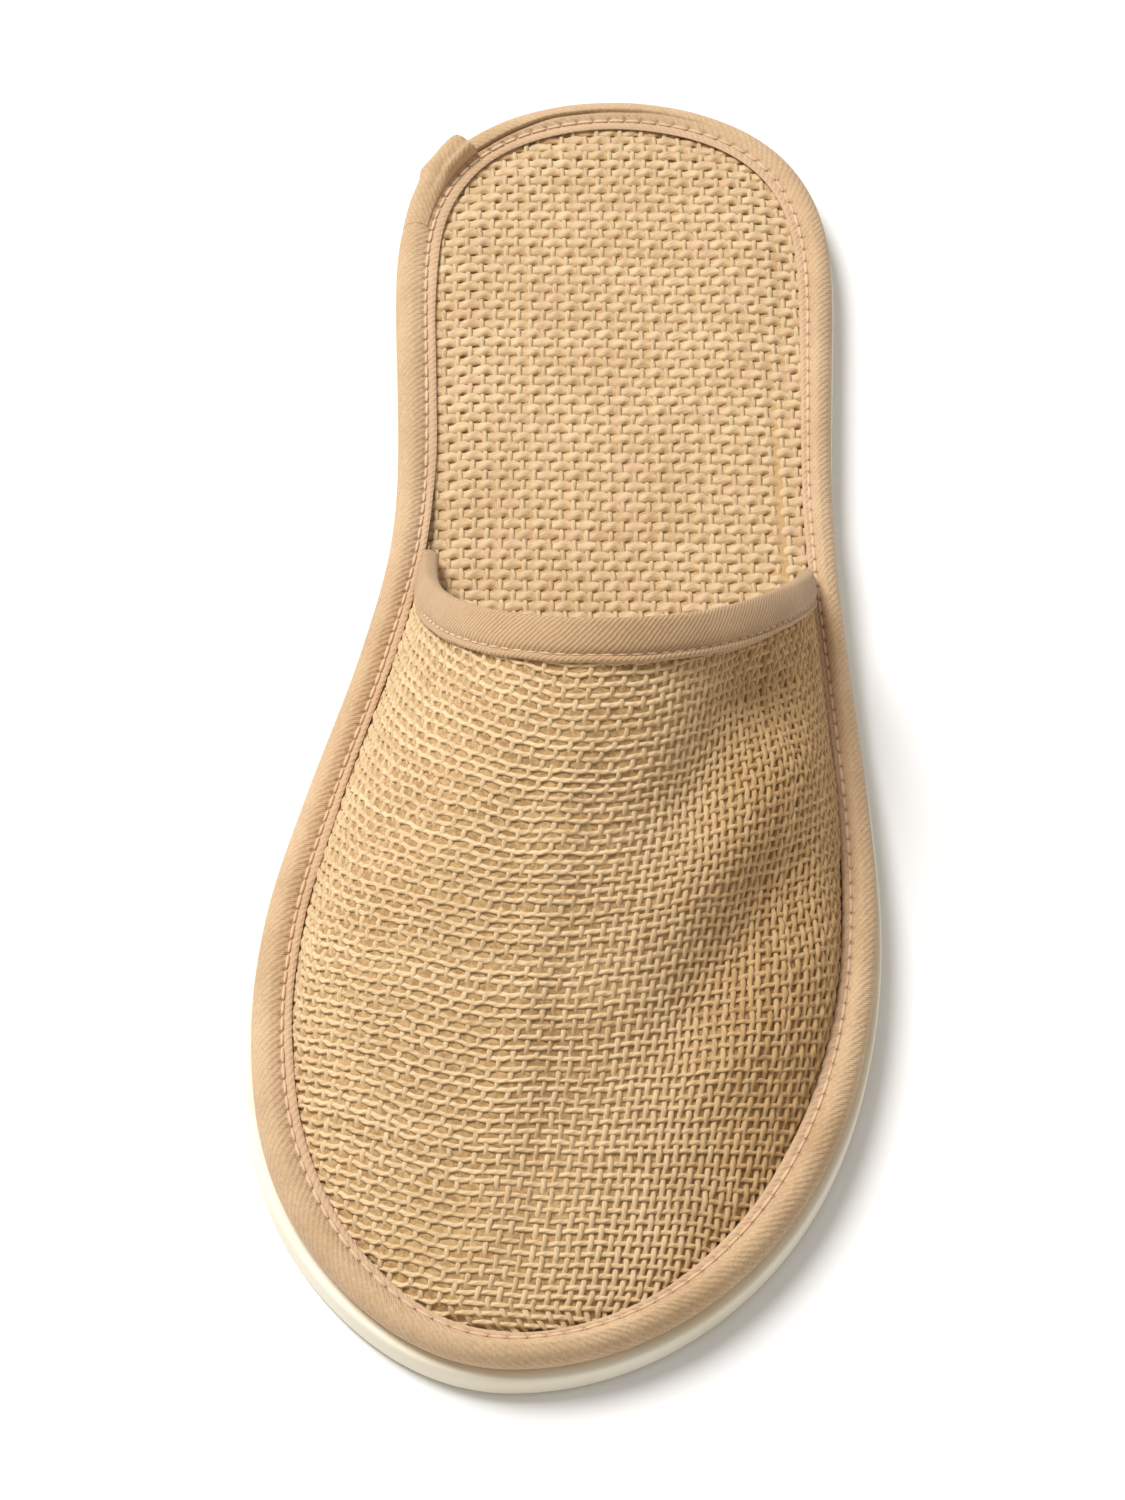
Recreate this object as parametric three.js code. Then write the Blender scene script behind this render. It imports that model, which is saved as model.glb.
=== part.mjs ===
// A closed-toe slip-on house slipper for the left foot, empty, standing on its flat sole.
// Millimetres, +Z up. The toe points to -Y and the heel to +Y; +X is the outer (lateral) side of the foot.
// The origin is on the floor under the middle of the sole's outline.
import * as THREE from "three";
import { mergeVertices } from "three/addons/utils/BufferGeometryUtils.js";

// Length of the bound edge from toe to heel, and where its two ends lie across the foot.
const EDGE_LENGTH = 281;
const TOE_ACROSS = -9.8;
const HEEL_ACROSS = 12.3;

// The bound edge from toe to heel; station is the share of the length from the toe.
// medial and lateral are the edge's fullness: the half width is fullness times 2 sqrt(station (1 - station)).
// The tape columns are the width of its top lip on each side, ledge is how far the sole stands out past it.
const EDGE_SECTIONS = [
  { station: 0.0, medial: 64.0, lateral: 78.5, medialTape: 5.2, lateralTape: 5.2, ledge: 1.2 },
  { station: 0.1, medial: 63.7, lateral: 73.5, medialTape: 6.7, lateralTape: 6.5, ledge: 1.2 },
  { station: 0.2, medial: 58.5, lateral: 67.2, medialTape: 6.8, lateralTape: 6.4, ledge: 1.2 },
  { station: 0.3, medial: 52.0, lateral: 60.8, medialTape: 6.7, lateralTape: 6.2, ledge: 1.1 },
  { station: 0.4, medial: 44.2, lateral: 54.3, medialTape: 6.3, lateralTape: 5.8, ledge: 0.8 },
  { station: 0.5, medial: 37.8, lateral: 49.1, medialTape: 6.2, lateralTape: 5.5, ledge: 0.4 },
  { station: 0.6, medial: 35.3, lateral: 46.4, medialTape: 6.5, lateralTape: 5.5, ledge: 0.3 },
  { station: 0.7, medial: 39.4, lateral: 47.6, medialTape: 7.0, lateralTape: 5.7, ledge: 0.4 },
  { station: 0.8, medial: 49.0, lateral: 53.4, medialTape: 7.4, lateralTape: 6.2, ledge: 0.5 },
  { station: 0.9, medial: 64.5, lateral: 65.5, medialTape: 7.6, lateralTape: 7.0, ledge: 0.5 },
  { station: 1.0, medial: 83.0, lateral: 83.0, medialTape: 7.7, lateralTape: 7.7, ledge: 0.4 },
];
const TAPE_WIDTH = 6.6;
const ROLL_INSET = 2.0;

// Layers from the floor up, with the gap that is kept between neighbours.
const GAP = 0.3;
const SOLE_THICK = 5.0;
const TAPE_THICK = 0.6;
const INSOLE_EDGE_THICK = 1.1;
const INSOLE_CROWN = 0.7;
const WALL_THICK = 1.1;
const TAPE_UNDER = SOLE_THICK + GAP;
const INSOLE_UNDER = TAPE_UNDER + TAPE_THICK + GAP;
const INSOLE_EDGE_TOP = INSOLE_UNDER + INSOLE_EDGE_THICK;
const SEAM_UNDER = INSOLE_EDGE_TOP + GAP;
const SEAM_TOP = SEAM_UNDER + WALL_THICK;

// Where the pieces start, measured inwards from the bound edge where the tape has its usual width.
const INSOLE_INSET = 1.5;
const SEAM_INSET = 2.1;
const UNDER_LIP_INSET = 7.2;
const WALL_INSET = TAPE_WIDTH + 0.4;

// Sections of the vamp from toe to throat. station says where the section meets the seam,
// rise is its crest's height over the seam, lean how far the crest tips towards the toe.
const VAMP_SECTIONS = [
  { station: 0.0, rise: 0.0, lean: 0.0 },
  { station: 0.006, rise: 1.9, lean: 0.0 },
  { station: 0.03, rise: 3.9, lean: 0.2 },
  { station: 0.1, rise: 8.2, lean: 2.0 },
  { station: 0.2, rise: 14.8, lean: 8.0 },
  { station: 0.3, rise: 21.4, lean: 17.0 },
  { station: 0.4, rise: 28.6, lean: 27.5 },
  { station: 0.5, rise: 36.6, lean: 38.0 },
  { station: 0.575, rise: 43.0, lean: 45.0 },
];
const CREST_SHIFT = -6.0;
const THROAT_STATION = 0.575;

// Throat edge across the vamp. arch is -pi/2 at the medial seam, 0 at the crest and pi/2 at the lateral seam,
// back is how far the edge lies behind the throat station there.
const THROAT_LINE = [
  { arch: -1.571, back: 5.8 },
  { arch: -1.45, back: 2.8 },
  { arch: -1.3, back: 0.5 },
  { arch: -1.1, back: -0.5 },
  { arch: -0.8, back: -1.1 },
  { arch: -0.4, back: -1.2 },
  { arch: 0.0, back: -0.9 },
  { arch: 0.4, back: -0.4 },
  { arch: 0.7, back: 0.7 },
  { arch: 1.0, back: 2.2 },
  { arch: 1.25, back: 2.7 },
  { arch: 1.571, back: 1.8 },
];

// Folds of the edge tape, from the top lip over the rolled edge to the lip under the insole.
// outer and inner are distances inwards from the edge; level is 0 on the sole and 1 on top of the bound layers.
const EDGE_FOLDS = [
  { outer: 6.6, outerLevel: 1, outerLift: 0.55, inner: 6.6, innerLevel: 1, innerLift: 0 },
  { outer: 6.0, outerLevel: 1, outerLift: 0.7, inner: 5.8, innerLevel: 1, innerLift: 0 },
  { outer: 5.0, outerLevel: 1, outerLift: 0.5, inner: 4.8, innerLevel: 1, innerLift: 0 },
  { outer: 3.9, outerLevel: 1, outerLift: 1.0, inner: 3.7, innerLevel: 1, innerLift: 0 },
  { outer: 2.6, outerLevel: 1, outerLift: 1.3, inner: 2.6, innerLevel: 1, innerLift: 0 },
  { outer: 1.1, outerLevel: 1, outerLift: 0.7, inner: 1.7, innerLevel: 1, innerLift: 0 },
  { outer: 0.25, outerLevel: 1, outerLift: -0.5, inner: 1.15, innerLevel: 1, innerLift: -0.5 },
  { outer: 0.0, outerLevel: 0.5, outerLift: 0, inner: 1.1, innerLevel: 0.5, innerLift: 0 },
  { outer: 0.35, outerLevel: 0, outerLift: 0.6, inner: 1.15, innerLevel: 0, innerLift: 1.1 },
  { outer: 1.2, outerLevel: 0, outerLift: 0, inner: 1.8, innerLevel: 0, innerLift: TAPE_THICK },
  { outer: UNDER_LIP_INSET, outerLevel: 0, outerLift: 0, inner: UNDER_LIP_INSET, innerLevel: 0, innerLift: TAPE_THICK },
];
const STEP_LENGTH = 0.14;

// Throat tape: how far it reaches down the vamp, its fold past the raw edge and where it stops at the seam.
const THROAT_TAPE_WIDTH = 7.0;
const THROAT_FOLD = 0.6;
const THROAT_TAPE_END_RISE = 2.0;

// The folded end of the edge tape that laps over its own start beside the heel, on the inner side.
const TAIL_START = -2.42;
const TAIL_END = -2.68;
const TAIL_THIN = 0.8;
const TAIL_THICK = 2.0;
const TAIL_FOLDS = { first: 3, last: 8 };

// How finely curves are divided.
const EDGE_STEPS = 96;
const VAMP_STEPS = 19;
const ARCH_STEPS = 24;
const TAIL_STEPS = 6;

const COLOURS = {
  cream: { color: 0xeae2c9, roughness: 0.55, metalness: 0 },
  insoleWeave: { color: 0xdcbb86, roughness: 0.9, metalness: 0 },
  vampWeave: { color: 0xc29a63, roughness: 0.9, metalness: 0 },
  edgeTape: { color: 0xdfb98c, roughness: 0.85, metalness: 0 },
  throatTape: { color: 0xc9a67f, roughness: 0.85, metalness: 0 },
};

// Smooth curve through one column of a table, by cubic Hermite pieces.
function columnCurve(table, by, key) {
  const slopes = table.map((row, i) => {
    const before = table[Math.max(0, i - 1)];
    const after = table[Math.min(table.length - 1, i + 1)];
    return (after[key] - before[key]) / (after[by] - before[by]);
  });
  return (at) => {
    let i = 0;
    while (i < table.length - 2 && at > table[i + 1][by]) i += 1;
    const span = table[i + 1][by] - table[i][by];
    const t = THREE.MathUtils.clamp((at - table[i][by]) / span, 0, 1);
    const rest = 1 - t;
    return (
      table[i][key] * (1 + 2 * t) * rest * rest +
      slopes[i] * span * t * rest * rest +
      table[i + 1][key] * t * t * (3 - 2 * t) -
      slopes[i + 1] * span * t * t * rest
    );
  };
}

const medialFullness = columnCurve(EDGE_SECTIONS, "station", "medial");
const lateralFullness = columnCurve(EDGE_SECTIONS, "station", "lateral");
const medialTape = columnCurve(EDGE_SECTIONS, "station", "medialTape");
const lateralTape = columnCurve(EDGE_SECTIONS, "station", "lateralTape");
const soleLedge = columnCurve(EDGE_SECTIONS, "station", "ledge");

// Angle round the edge: 0 at the toe, pi at the heel, positive along the lateral side.
const stationAt = (angle) => (1 - Math.cos(angle)) / 2;
const angleAt = (station) => Math.acos(1 - 2 * station);

// Point of the bound edge in plan.
function edgePoint(angle) {
  const station = stationAt(angle);
  const side = Math.sin(angle);
  const fullness = side >= 0 ? lateralFullness(station) : medialFullness(station);
  const axis = TOE_ACROSS + (HEEL_ACROSS - TOE_ACROSS) * station;
  return new THREE.Vector2(axis + side * fullness, EDGE_LENGTH * (station - 0.5));
}

// Point at a distance inwards from the bound edge, square to it.
function rimPoint(angle, inset) {
  const along = edgePoint(angle + 1e-3).sub(edgePoint(angle - 1e-3)).normalize();
  return edgePoint(angle).add(new THREE.Vector2(-along.y, along.x).multiplyScalar(inset));
}

// The same with the inset stretched to the tape's width there; the rolled edge itself keeps its size.
function tapeRim(angle, inset) {
  const width = (Math.sin(angle) >= 0 ? lateralTape : medialTape)(stationAt(angle));
  const stretch = (width - ROLL_INSET) / (TAPE_WIDTH - ROLL_INSET);
  return rimPoint(angle, inset <= ROLL_INSET ? inset : ROLL_INSET + (inset - ROLL_INSET) * stretch);
}

// Angles that divide the edge into equal lengths, starting at the toe.
function evenAngles(count) {
  const fine = Array.from({ length: 1441 }, (_, i) => (i * Math.PI) / 720);
  const reach = [0];
  for (let i = 1; i < fine.length; i += 1) {
    reach.push(reach[i - 1] + edgePoint(fine[i]).distanceTo(edgePoint(fine[i - 1])));
  }
  const total = reach[reach.length - 1];
  return Array.from({ length: count }, (_, n) => {
    const want = (total * n) / count;
    const i = reach.findIndex((r) => r > want);
    return fine[i - 1] + ((want - reach[i - 1]) / (reach[i] - reach[i - 1])) * (fine[i] - fine[i - 1]);
  });
}

const edgeAngles = evenAngles(EDGE_STEPS);

// Closed geometry from points and triangles, with doubled points merged and empty triangles left out.
function closedGeometry(points, triangles) {
  const loose = new THREE.BufferGeometry().setFromPoints(points);
  loose.setIndex(triangles.flat());
  const merged = mergeVertices(loose, 1e-3);
  const kept = [];
  for (let i = 0; i < merged.index.count; i += 3) {
    const [a, b, c] = merged.index.array.slice(i, i + 3);
    if (a !== b && b !== c && c !== a) kept.push(a, b, c);
  }
  merged.setIndex(kept);
  merged.computeVertexNormals();
  return merged;
}

// A flat-ended solid through loops round the edge, listed from the bottom face to the top face.
function slab(loops, rim) {
  const points = loops.flatMap(({ inset, z }) =>
    edgeAngles.map((angle) => {
      const p = rim(angle, inset);
      return new THREE.Vector3(p.x, p.y, z);
    }),
  );
  const count = edgeAngles.length;
  const triangles = [];
  for (let k = 0; k < loops.length - 1; k += 1) {
    for (let i = 0; i < count; i += 1) {
      const a = k * count + i;
      const b = k * count + ((i + 1) % count);
      triangles.push([a, b, b + count], [a, b + count, a + count]);
    }
  }
  const capOf = (start) => {
    const contour = points.slice(start, start + count).map((p) => new THREE.Vector2(p.x, p.y));
    return THREE.ShapeUtils.triangulateShape(contour, []).map((t) => t.map((v) => v + start));
  };
  capOf(0).forEach(([a, b, c]) => triangles.push([a, c, b]));
  triangles.push(...capOf((loops.length - 1) * count));
  return closedGeometry(points, triangles);
}

// A folded or curved wall through rows of outer points and matching inner points.
// The rows run on round to the first one when closed; otherwise their end faces can be capped.
function wall(rows, { closed = false, capFirst = true, capLast = true } = {}) {
  const folds = rows[0].outer.length;
  const points = rows.flatMap((row) => [...row.outer, ...row.inner]);
  const at = (row, fold, inner) => (row % rows.length) * 2 * folds + (inner ? folds : 0) + fold;
  const triangles = [];
  const quad = (a, b, c, d) => triangles.push([a, b, c], [a, c, d]);
  const spans = closed ? rows.length : rows.length - 1;
  for (let r = 0; r < spans; r += 1) {
    for (let f = 0; f < folds - 1; f += 1) {
      quad(at(r, f), at(r + 1, f), at(r + 1, f + 1), at(r, f + 1));
      quad(at(r, f, true), at(r, f + 1, true), at(r + 1, f + 1, true), at(r + 1, f, true));
    }
    quad(at(r, 0), at(r, 0, true), at(r + 1, 0, true), at(r + 1, 0));
    const last = folds - 1;
    quad(at(r, last), at(r + 1, last), at(r + 1, last, true), at(r, last, true));
  }
  const end = rows.length - 1;
  for (let f = 0; f < folds - 1 && !closed; f += 1) {
    if (capFirst) quad(at(0, f), at(0, f + 1), at(0, f + 1, true), at(0, f, true));
    if (capLast) quad(at(end, f), at(end, f, true), at(end, f + 1, true), at(end, f + 1));
  }
  return closedGeometry(points, triangles);
}

// Sole: a flat sheet with a rounded edge that stands a little proud of the bound edge.
function outsole() {
  const loops = [
    { inset: 1.2, z: 0 },
    { inset: 0.35, z: 0.4 },
    { inset: 0, z: 1.4 },
    { inset: 0, z: SOLE_THICK - 0.9 },
    { inset: 0.25, z: SOLE_THICK - 0.25 },
    { inset: 0.9, z: SOLE_THICK },
  ];
  return slab(loops, (angle, inset) => rimPoint(angle, inset - soleLedge(stationAt(angle))));
}

// Insole: it rests over the sole in the middle, is rebated underneath for the tape's lower lip
// and swells slightly inside the seam.
function insole() {
  const loops = [
    { inset: UNDER_LIP_INSET + GAP, z: SOLE_THICK + GAP },
    { inset: UNDER_LIP_INSET + GAP, z: INSOLE_UNDER },
    { inset: INSOLE_INSET + 0.4, z: INSOLE_UNDER },
    { inset: INSOLE_INSET, z: INSOLE_UNDER + 0.4 },
    { inset: INSOLE_INSET, z: INSOLE_EDGE_TOP - 0.3 },
    { inset: INSOLE_INSET + 0.5, z: INSOLE_EDGE_TOP },
    { inset: WALL_INSET + 2, z: INSOLE_EDGE_TOP },
    { inset: WALL_INSET + 6, z: INSOLE_EDGE_TOP + INSOLE_CROWN },
  ];
  return slab(loops, tapeRim);
}

const vampRise = columnCurve(VAMP_SECTIONS, "station", "rise");
const vampLean = columnCurve(VAMP_SECTIONS, "station", "lean");
const throatAngle = angleAt(THROAT_STATION);
const throatBack = columnCurve(THROAT_LINE, "arch", "back");
const throatPace = (EDGE_LENGTH / 2) * Math.sin(throatAngle);
const endArch = Math.acos(THROAT_TAPE_END_RISE / vampRise(THROAT_STATION));

// Angle at which the vamp ends at the throat, for one place across it.
function throatAngleAt(arch) {
  return throatAngle + throatBack(arch) / throatPace;
}

// Point of the vamp: angle says where its section meets the seam, arch runs from -pi/2 at the medial seam
// through 0 at the crest to pi/2 at the lateral seam. depth is 0 outside and 1 on the inside of the wall.
function vampPoint(angle, arch, depth) {
  const medial = tapeRim(-angle, WALL_INSET);
  const lateral = tapeRim(angle, WALL_INSET);
  const middle = medial.clone().add(lateral).multiplyScalar(0.5);
  const half = lateral.clone().sub(medial).multiplyScalar(0.5);
  const reach = half.length();
  half.multiplyScalar(depth ? reach / (reach + WALL_THICK) : 1);
  const station = stationAt(angle);
  const crest = Math.cos(arch);
  const shift = CREST_SHIFT * crest * crest * Math.min(1, reach / (2 * WALL_INSET));
  return new THREE.Vector3(
    middle.x + half.x * Math.sin(arch) + shift,
    middle.y + half.y * Math.sin(arch) - vampLean(station) * crest,
    SEAM_TOP - depth * WALL_THICK + vampRise(station) * crest,
  );
}

// Outward unit normal of the vamp's outer or inner surface.
function vampNormal(angle, arch, depth) {
  const e = 1e-3;
  const along = vampPoint(angle, arch, depth).sub(vampPoint(angle - e, arch, depth));
  const across = vampPoint(angle, arch + e, depth).sub(vampPoint(angle, arch - e, depth));
  return across.cross(along).normalize();
}

// Places across the vamp, with one more beside each seam where the throat tape ends.
const archSteps = Array.from({ length: ARCH_STEPS + 1 }, (_, i) => Math.PI * (i / ARCH_STEPS - 0.5));
archSteps.splice(1, 0, -endArch);
archSteps.splice(-1, 0, endArch);

// Upper: one wall over the forefoot with a flat seam allowance all round, open at the throat and underneath.
function upper() {
  const seamPoint = (angle, z) => {
    const p = tapeRim(angle, SEAM_INSET);
    return new THREE.Vector3(p.x, p.y, z);
  };
  const rows = Array.from({ length: VAMP_STEPS + 1 }, (_, i) => {
    const share = i / VAMP_STEPS;
    const side = (z, depth) => [
      seamPoint(-throatAngleAt(-Math.PI / 2) * share, z),
      ...archSteps.map((arch) => vampPoint(throatAngleAt(arch) * share, arch, depth)),
      seamPoint(throatAngleAt(Math.PI / 2) * share, z),
    ];
    return { outer: side(SEAM_TOP, 0), inner: side(SEAM_UNDER, 1) };
  });
  return wall(rows.reverse(), { capLast: false });
}

// Height of the top of the bound layers: the vamp's seam lies on the insole in front of the throat only.
function boundTop(angle) {
  const round = Math.abs(THREE.MathUtils.euclideanModulo(angle + Math.PI, 2 * Math.PI) - Math.PI);
  const end = throatAngleAt(Math.sin(angle) < 0 ? -Math.PI / 2 : Math.PI / 2);
  const past = THREE.MathUtils.smoothstep(round, end + 0.01, end + STEP_LENGTH);
  return GAP + THREE.MathUtils.lerp(SEAM_TOP, INSOLE_EDGE_TOP, past);
}

// Point of the edge tape at one fold, moved outwards by a distance where another layer lies over it.
function tapePoint(angle, fold, inner, over = 0) {
  const row = EDGE_FOLDS[fold];
  const level = inner ? row.innerLevel : row.outerLevel;
  const z = THREE.MathUtils.lerp(TAPE_UNDER, boundTop(angle), level) + (inner ? row.innerLift : row.outerLift);
  const inset = inner ? row.inner : row.outer;
  const p = tapeRim(angle, inset - over * (1 - Math.min(1, inset / 3)));
  return new THREE.Vector3(p.x, p.y, z + over * Math.min(1, inset / 1.4) * level);
}

// Edge tape: wrapped round the edges of insole and vamp, all the way round the slipper.
function edgeBinding() {
  const folds = EDGE_FOLDS.map((_, fold) => fold);
  const rows = edgeAngles.map((angle) => ({
    outer: folds.map((fold) => tapePoint(angle, fold, false)),
    inner: folds.map((fold) => tapePoint(angle, fold, true)),
  }));
  return wall(rows.reverse(), { closed: true });
}

// Folded tape end: a second layer over the edge tape that thickens towards its cut end.
function bindingTail() {
  const folds = [];
  for (let fold = TAIL_FOLDS.first; fold <= TAIL_FOLDS.last; fold += 1) folds.push(fold);
  const rows = Array.from({ length: TAIL_STEPS + 1 }, (_, i) => {
    const share = i / TAIL_STEPS;
    const angle = THREE.MathUtils.lerp(TAIL_START, TAIL_END, share);
    const thick = THREE.MathUtils.lerp(TAIL_THIN, TAIL_THICK, share);
    return {
      outer: folds.map((fold) => tapePoint(angle, fold, false, GAP + thick)),
      inner: folds.map((fold) => tapePoint(angle, fold, false, GAP)),
    };
  });
  return wall(rows);
}

// Throat tape: folded over the vamp's top edge, one leg outside and one inside.
function throatBinding() {
  const legs = [THROAT_TAPE_WIDTH, THROAT_TAPE_WIDTH / 2, 0];
  const rows = archSteps.slice(1, -1).map((arch) => {
    const step = 1e-3;
    const end = throatAngleAt(arch);
    const edge = vampPoint(end, arch, 0);
    const back = edge.clone().sub(vampPoint(end - step, arch, 0));
    const speed = back.length() / step;
    back.normalize();
    const legPoint = (depth, off) => (leg) => {
      const angle = end - leg / speed;
      const lift = vampNormal(angle, arch, depth).multiplyScalar(depth ? -off : off);
      return vampPoint(angle, arch, depth).add(lift);
    };
    const layer = (off, fold) => {
      const outside = legs.map(legPoint(0, off));
      const inside = legs.map(legPoint(1, off)).reverse();
      const turn = [outside[outside.length - 1], inside[0]].map((p, side) =>
        p.clone().lerp(side ? outside[outside.length - 1] : inside[0], 0.2).addScaledVector(back, fold),
      );
      return [...outside, ...turn, ...inside];
    };
    return { outer: layer(GAP + TAPE_THICK, THROAT_FOLD + TAPE_THICK), inner: layer(GAP, THROAT_FOLD) };
  });
  return wall(rows);
}

function piece(name, geometry, finish) {
  const mesh = new THREE.Mesh(geometry, new THREE.MeshStandardMaterial(COLOURS[finish]));
  mesh.name = name;
  return mesh;
}

// The rim is drawn about the line from toe to heel, so the whole slipper is moved to stand over the origin.
function standOverOrigin(group) {
  const box = new THREE.Box3().setFromObject(group);
  group.position.x = -(box.min.x + box.max.x) / 2;
  group.position.y = -(box.min.y + box.max.y) / 2;
  return group;
}

const slipper = new THREE.Group();
slipper.name = "slipper";
slipper.add(
  piece("outsole", outsole(), "cream"),
  piece("insole", insole(), "insoleWeave"),
  piece("upper", upper(), "vampWeave"),
  piece("edge_binding", edgeBinding(), "edgeTape"),
  piece("throat_binding", throatBinding(), "throatTape"),
  piece("binding_tail", bindingTail(), "edgeTape"),
);

export default standOverOrigin(slipper);
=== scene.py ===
import math

import bmesh
import bpy
import numpy as np
from mathutils import Matrix, Vector


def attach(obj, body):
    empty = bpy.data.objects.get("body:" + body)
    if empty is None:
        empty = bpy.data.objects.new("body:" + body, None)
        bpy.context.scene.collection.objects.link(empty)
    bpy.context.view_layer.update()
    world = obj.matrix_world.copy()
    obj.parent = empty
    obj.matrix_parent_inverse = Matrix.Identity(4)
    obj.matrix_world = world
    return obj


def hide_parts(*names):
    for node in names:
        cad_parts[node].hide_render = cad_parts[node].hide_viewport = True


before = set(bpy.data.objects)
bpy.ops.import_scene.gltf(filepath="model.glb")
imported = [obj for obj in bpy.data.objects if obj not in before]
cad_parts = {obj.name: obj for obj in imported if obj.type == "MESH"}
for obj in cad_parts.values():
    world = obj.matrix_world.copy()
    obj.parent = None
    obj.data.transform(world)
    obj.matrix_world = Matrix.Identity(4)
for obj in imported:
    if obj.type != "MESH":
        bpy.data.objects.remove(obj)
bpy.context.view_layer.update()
mm = 0.001  # shapes are worked out in millimetres, meshes are in metres
pi = math.pi
nudge = 1e-3  # small step of an angle, to find directions


def linked(name, data):
    piece = bpy.data.objects.new(name, data)
    bpy.context.collection.objects.link(piece)
    return piece


# Camera at the photo's angle, places in millimetres
cameraView = {
    "place": (-35.933, -498.260, 638.908),
    "aim": (-1.151, -23.634, 15.0),
    "roll": 4.955,  # degrees
    "lens": 109.755,
    "sensor": 36.0,
}


def makeCamera(view):
    place = Vector(view["place"]) * mm
    forward = (Vector(view["aim"]) * mm - place).normalized()
    level = forward.cross(Vector((0, 0, 1))).normalized()
    above = level.cross(forward)
    roll = math.radians(view["roll"])
    right = level * math.cos(roll) + above * math.sin(roll)
    up = above * math.cos(roll) - level * math.sin(roll)
    data = bpy.data.cameras.new("photoCamera")
    data.lens = view["lens"]
    data.sensor_width = view["sensor"]
    data.clip_start = 0.01
    camera = linked("photoCamera", data)
    turn = Matrix((right, up, -forward)).transposed().to_4x4()
    camera.matrix_world = Matrix.Translation(place) @ turn
    bpy.context.scene.camera = camera


makeCamera(cameraView)
print("camera placed")


# Node trees: one method adds any node, and sums on values are written as expressions
class Value:
    def __init__(self, maker, socket):
        self.maker = maker
        self.socket = socket

    def __add__(self, other):
        return self.maker.maths("ADD", self, other)

    def __radd__(self, other):
        return self.maker.maths("ADD", other, self)

    def __sub__(self, other):
        return self.maker.maths("SUBTRACT", self, other)

    def __rsub__(self, other):
        return self.maker.maths("SUBTRACT", other, self)

    def __mul__(self, other):
        return self.maker.maths("MULTIPLY", self, other)

    def __rmul__(self, other):
        return self.maker.maths("MULTIPLY", other, self)

    def __truediv__(self, other):
        return self.maker.maths("DIVIDE", self, other)

    def __rtruediv__(self, other):
        return self.maker.maths("DIVIDE", other, self)


class NodeMaker:
    def __init__(self, tree):
        self.tree = tree

    def node(self, kind, settings=None, sockets=None, out=0):
        made = self.tree.nodes.new(kind)
        for key, value in (settings or {}).items():
            setattr(made, key, value)
        for key, value in (sockets or {}).items():
            self.feed(made.inputs[key], value)
        return Value(self, made.outputs[out]) if len(made.outputs) else made

    def feed(self, socket, value):
        if isinstance(value, Value):
            self.tree.links.new(value.socket, socket)
        else:
            socket.default_value = value

    def maths(self, operation, *terms):
        return self.node("ShaderNodeMath", {"operation": operation}, dict(enumerate(terms)))


def paint(red, green, blue):  # a colour as a picture shows it, 0 to 255
    share = [v / 255 for v in (red, green, blue)]
    linear = [v / 12.92 if v <= 0.04045 else ((v + 0.055) / 1.055) ** 2.4 for v in share]
    return (*linear, 1.0)


class Finish(NodeMaker):
    def __init__(self, name, roughness=0.9, sheen=0.0, specular=0.3):
        self.material = bpy.data.materials.new(name)
        self.material.use_nodes = True
        super().__init__(self.material.node_tree)
        self.tree.nodes.clear()
        steady = {"Roughness": roughness, "Sheen Weight": sheen, "Specular IOR Level": specular}
        self.surface = self.node("ShaderNodeBsdfPrincipled", None, steady)
        self.node("ShaderNodeOutputMaterial", None, {"Surface": self.surface})
        self.place = self.node("ShaderNodeTexCoord", None, None, "Object")

    def set(self, socket, value):
        self.feed(self.surface.socket.node.inputs[socket], value)

    def attribute(self, name, out="Fac"):
        return self.node("ShaderNodeAttribute", {"attribute_name": name}, None, out)

    def scaled(self, vector, sizes):
        return self.node("ShaderNodeMapping", None, {"Vector": vector, "Scale": sizes})

    def noise(self, scale, detail=2.0, rough=0.5, vector=None):
        sockets = {"Vector": vector or self.place, "Scale": scale, "Detail": detail, "Roughness": rough}
        return self.node("ShaderNodeTexNoise", None, sockets, "Fac")

    def split(self, vector):
        apart = self.node("ShaderNodeSeparateXYZ", None, {"Vector": vector})
        return [Value(self, apart.socket.node.outputs[i]) for i in range(3)]

    def vector(self, x, y, z):
        return self.node("ShaderNodeCombineXYZ", None, {"X": x, "Y": y, "Z": z})

    def wave(self, value):
        return self.maths("SINE", value)

    def between(self, value, low, high):  # smooth step from 0 to 1
        settings = {"interpolation_type": "SMOOTHSTEP"}
        return self.node("ShaderNodeMapRange", settings, {"Value": value, "From Min": low, "From Max": high})

    def mix(self, factor, first, second, blend="MIX"):
        settings = {"data_type": "RGBA", "blend_type": blend}
        return self.node("ShaderNodeMix", settings, {"Factor": factor, 6: first, 7: second}, 2)

    def bump(self, height, depth, strength=1.0):
        self.set("Normal", self.node("ShaderNodeBump", None, {
            "Height": height, "Distance": depth * mm, "Strength": strength}))


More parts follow.
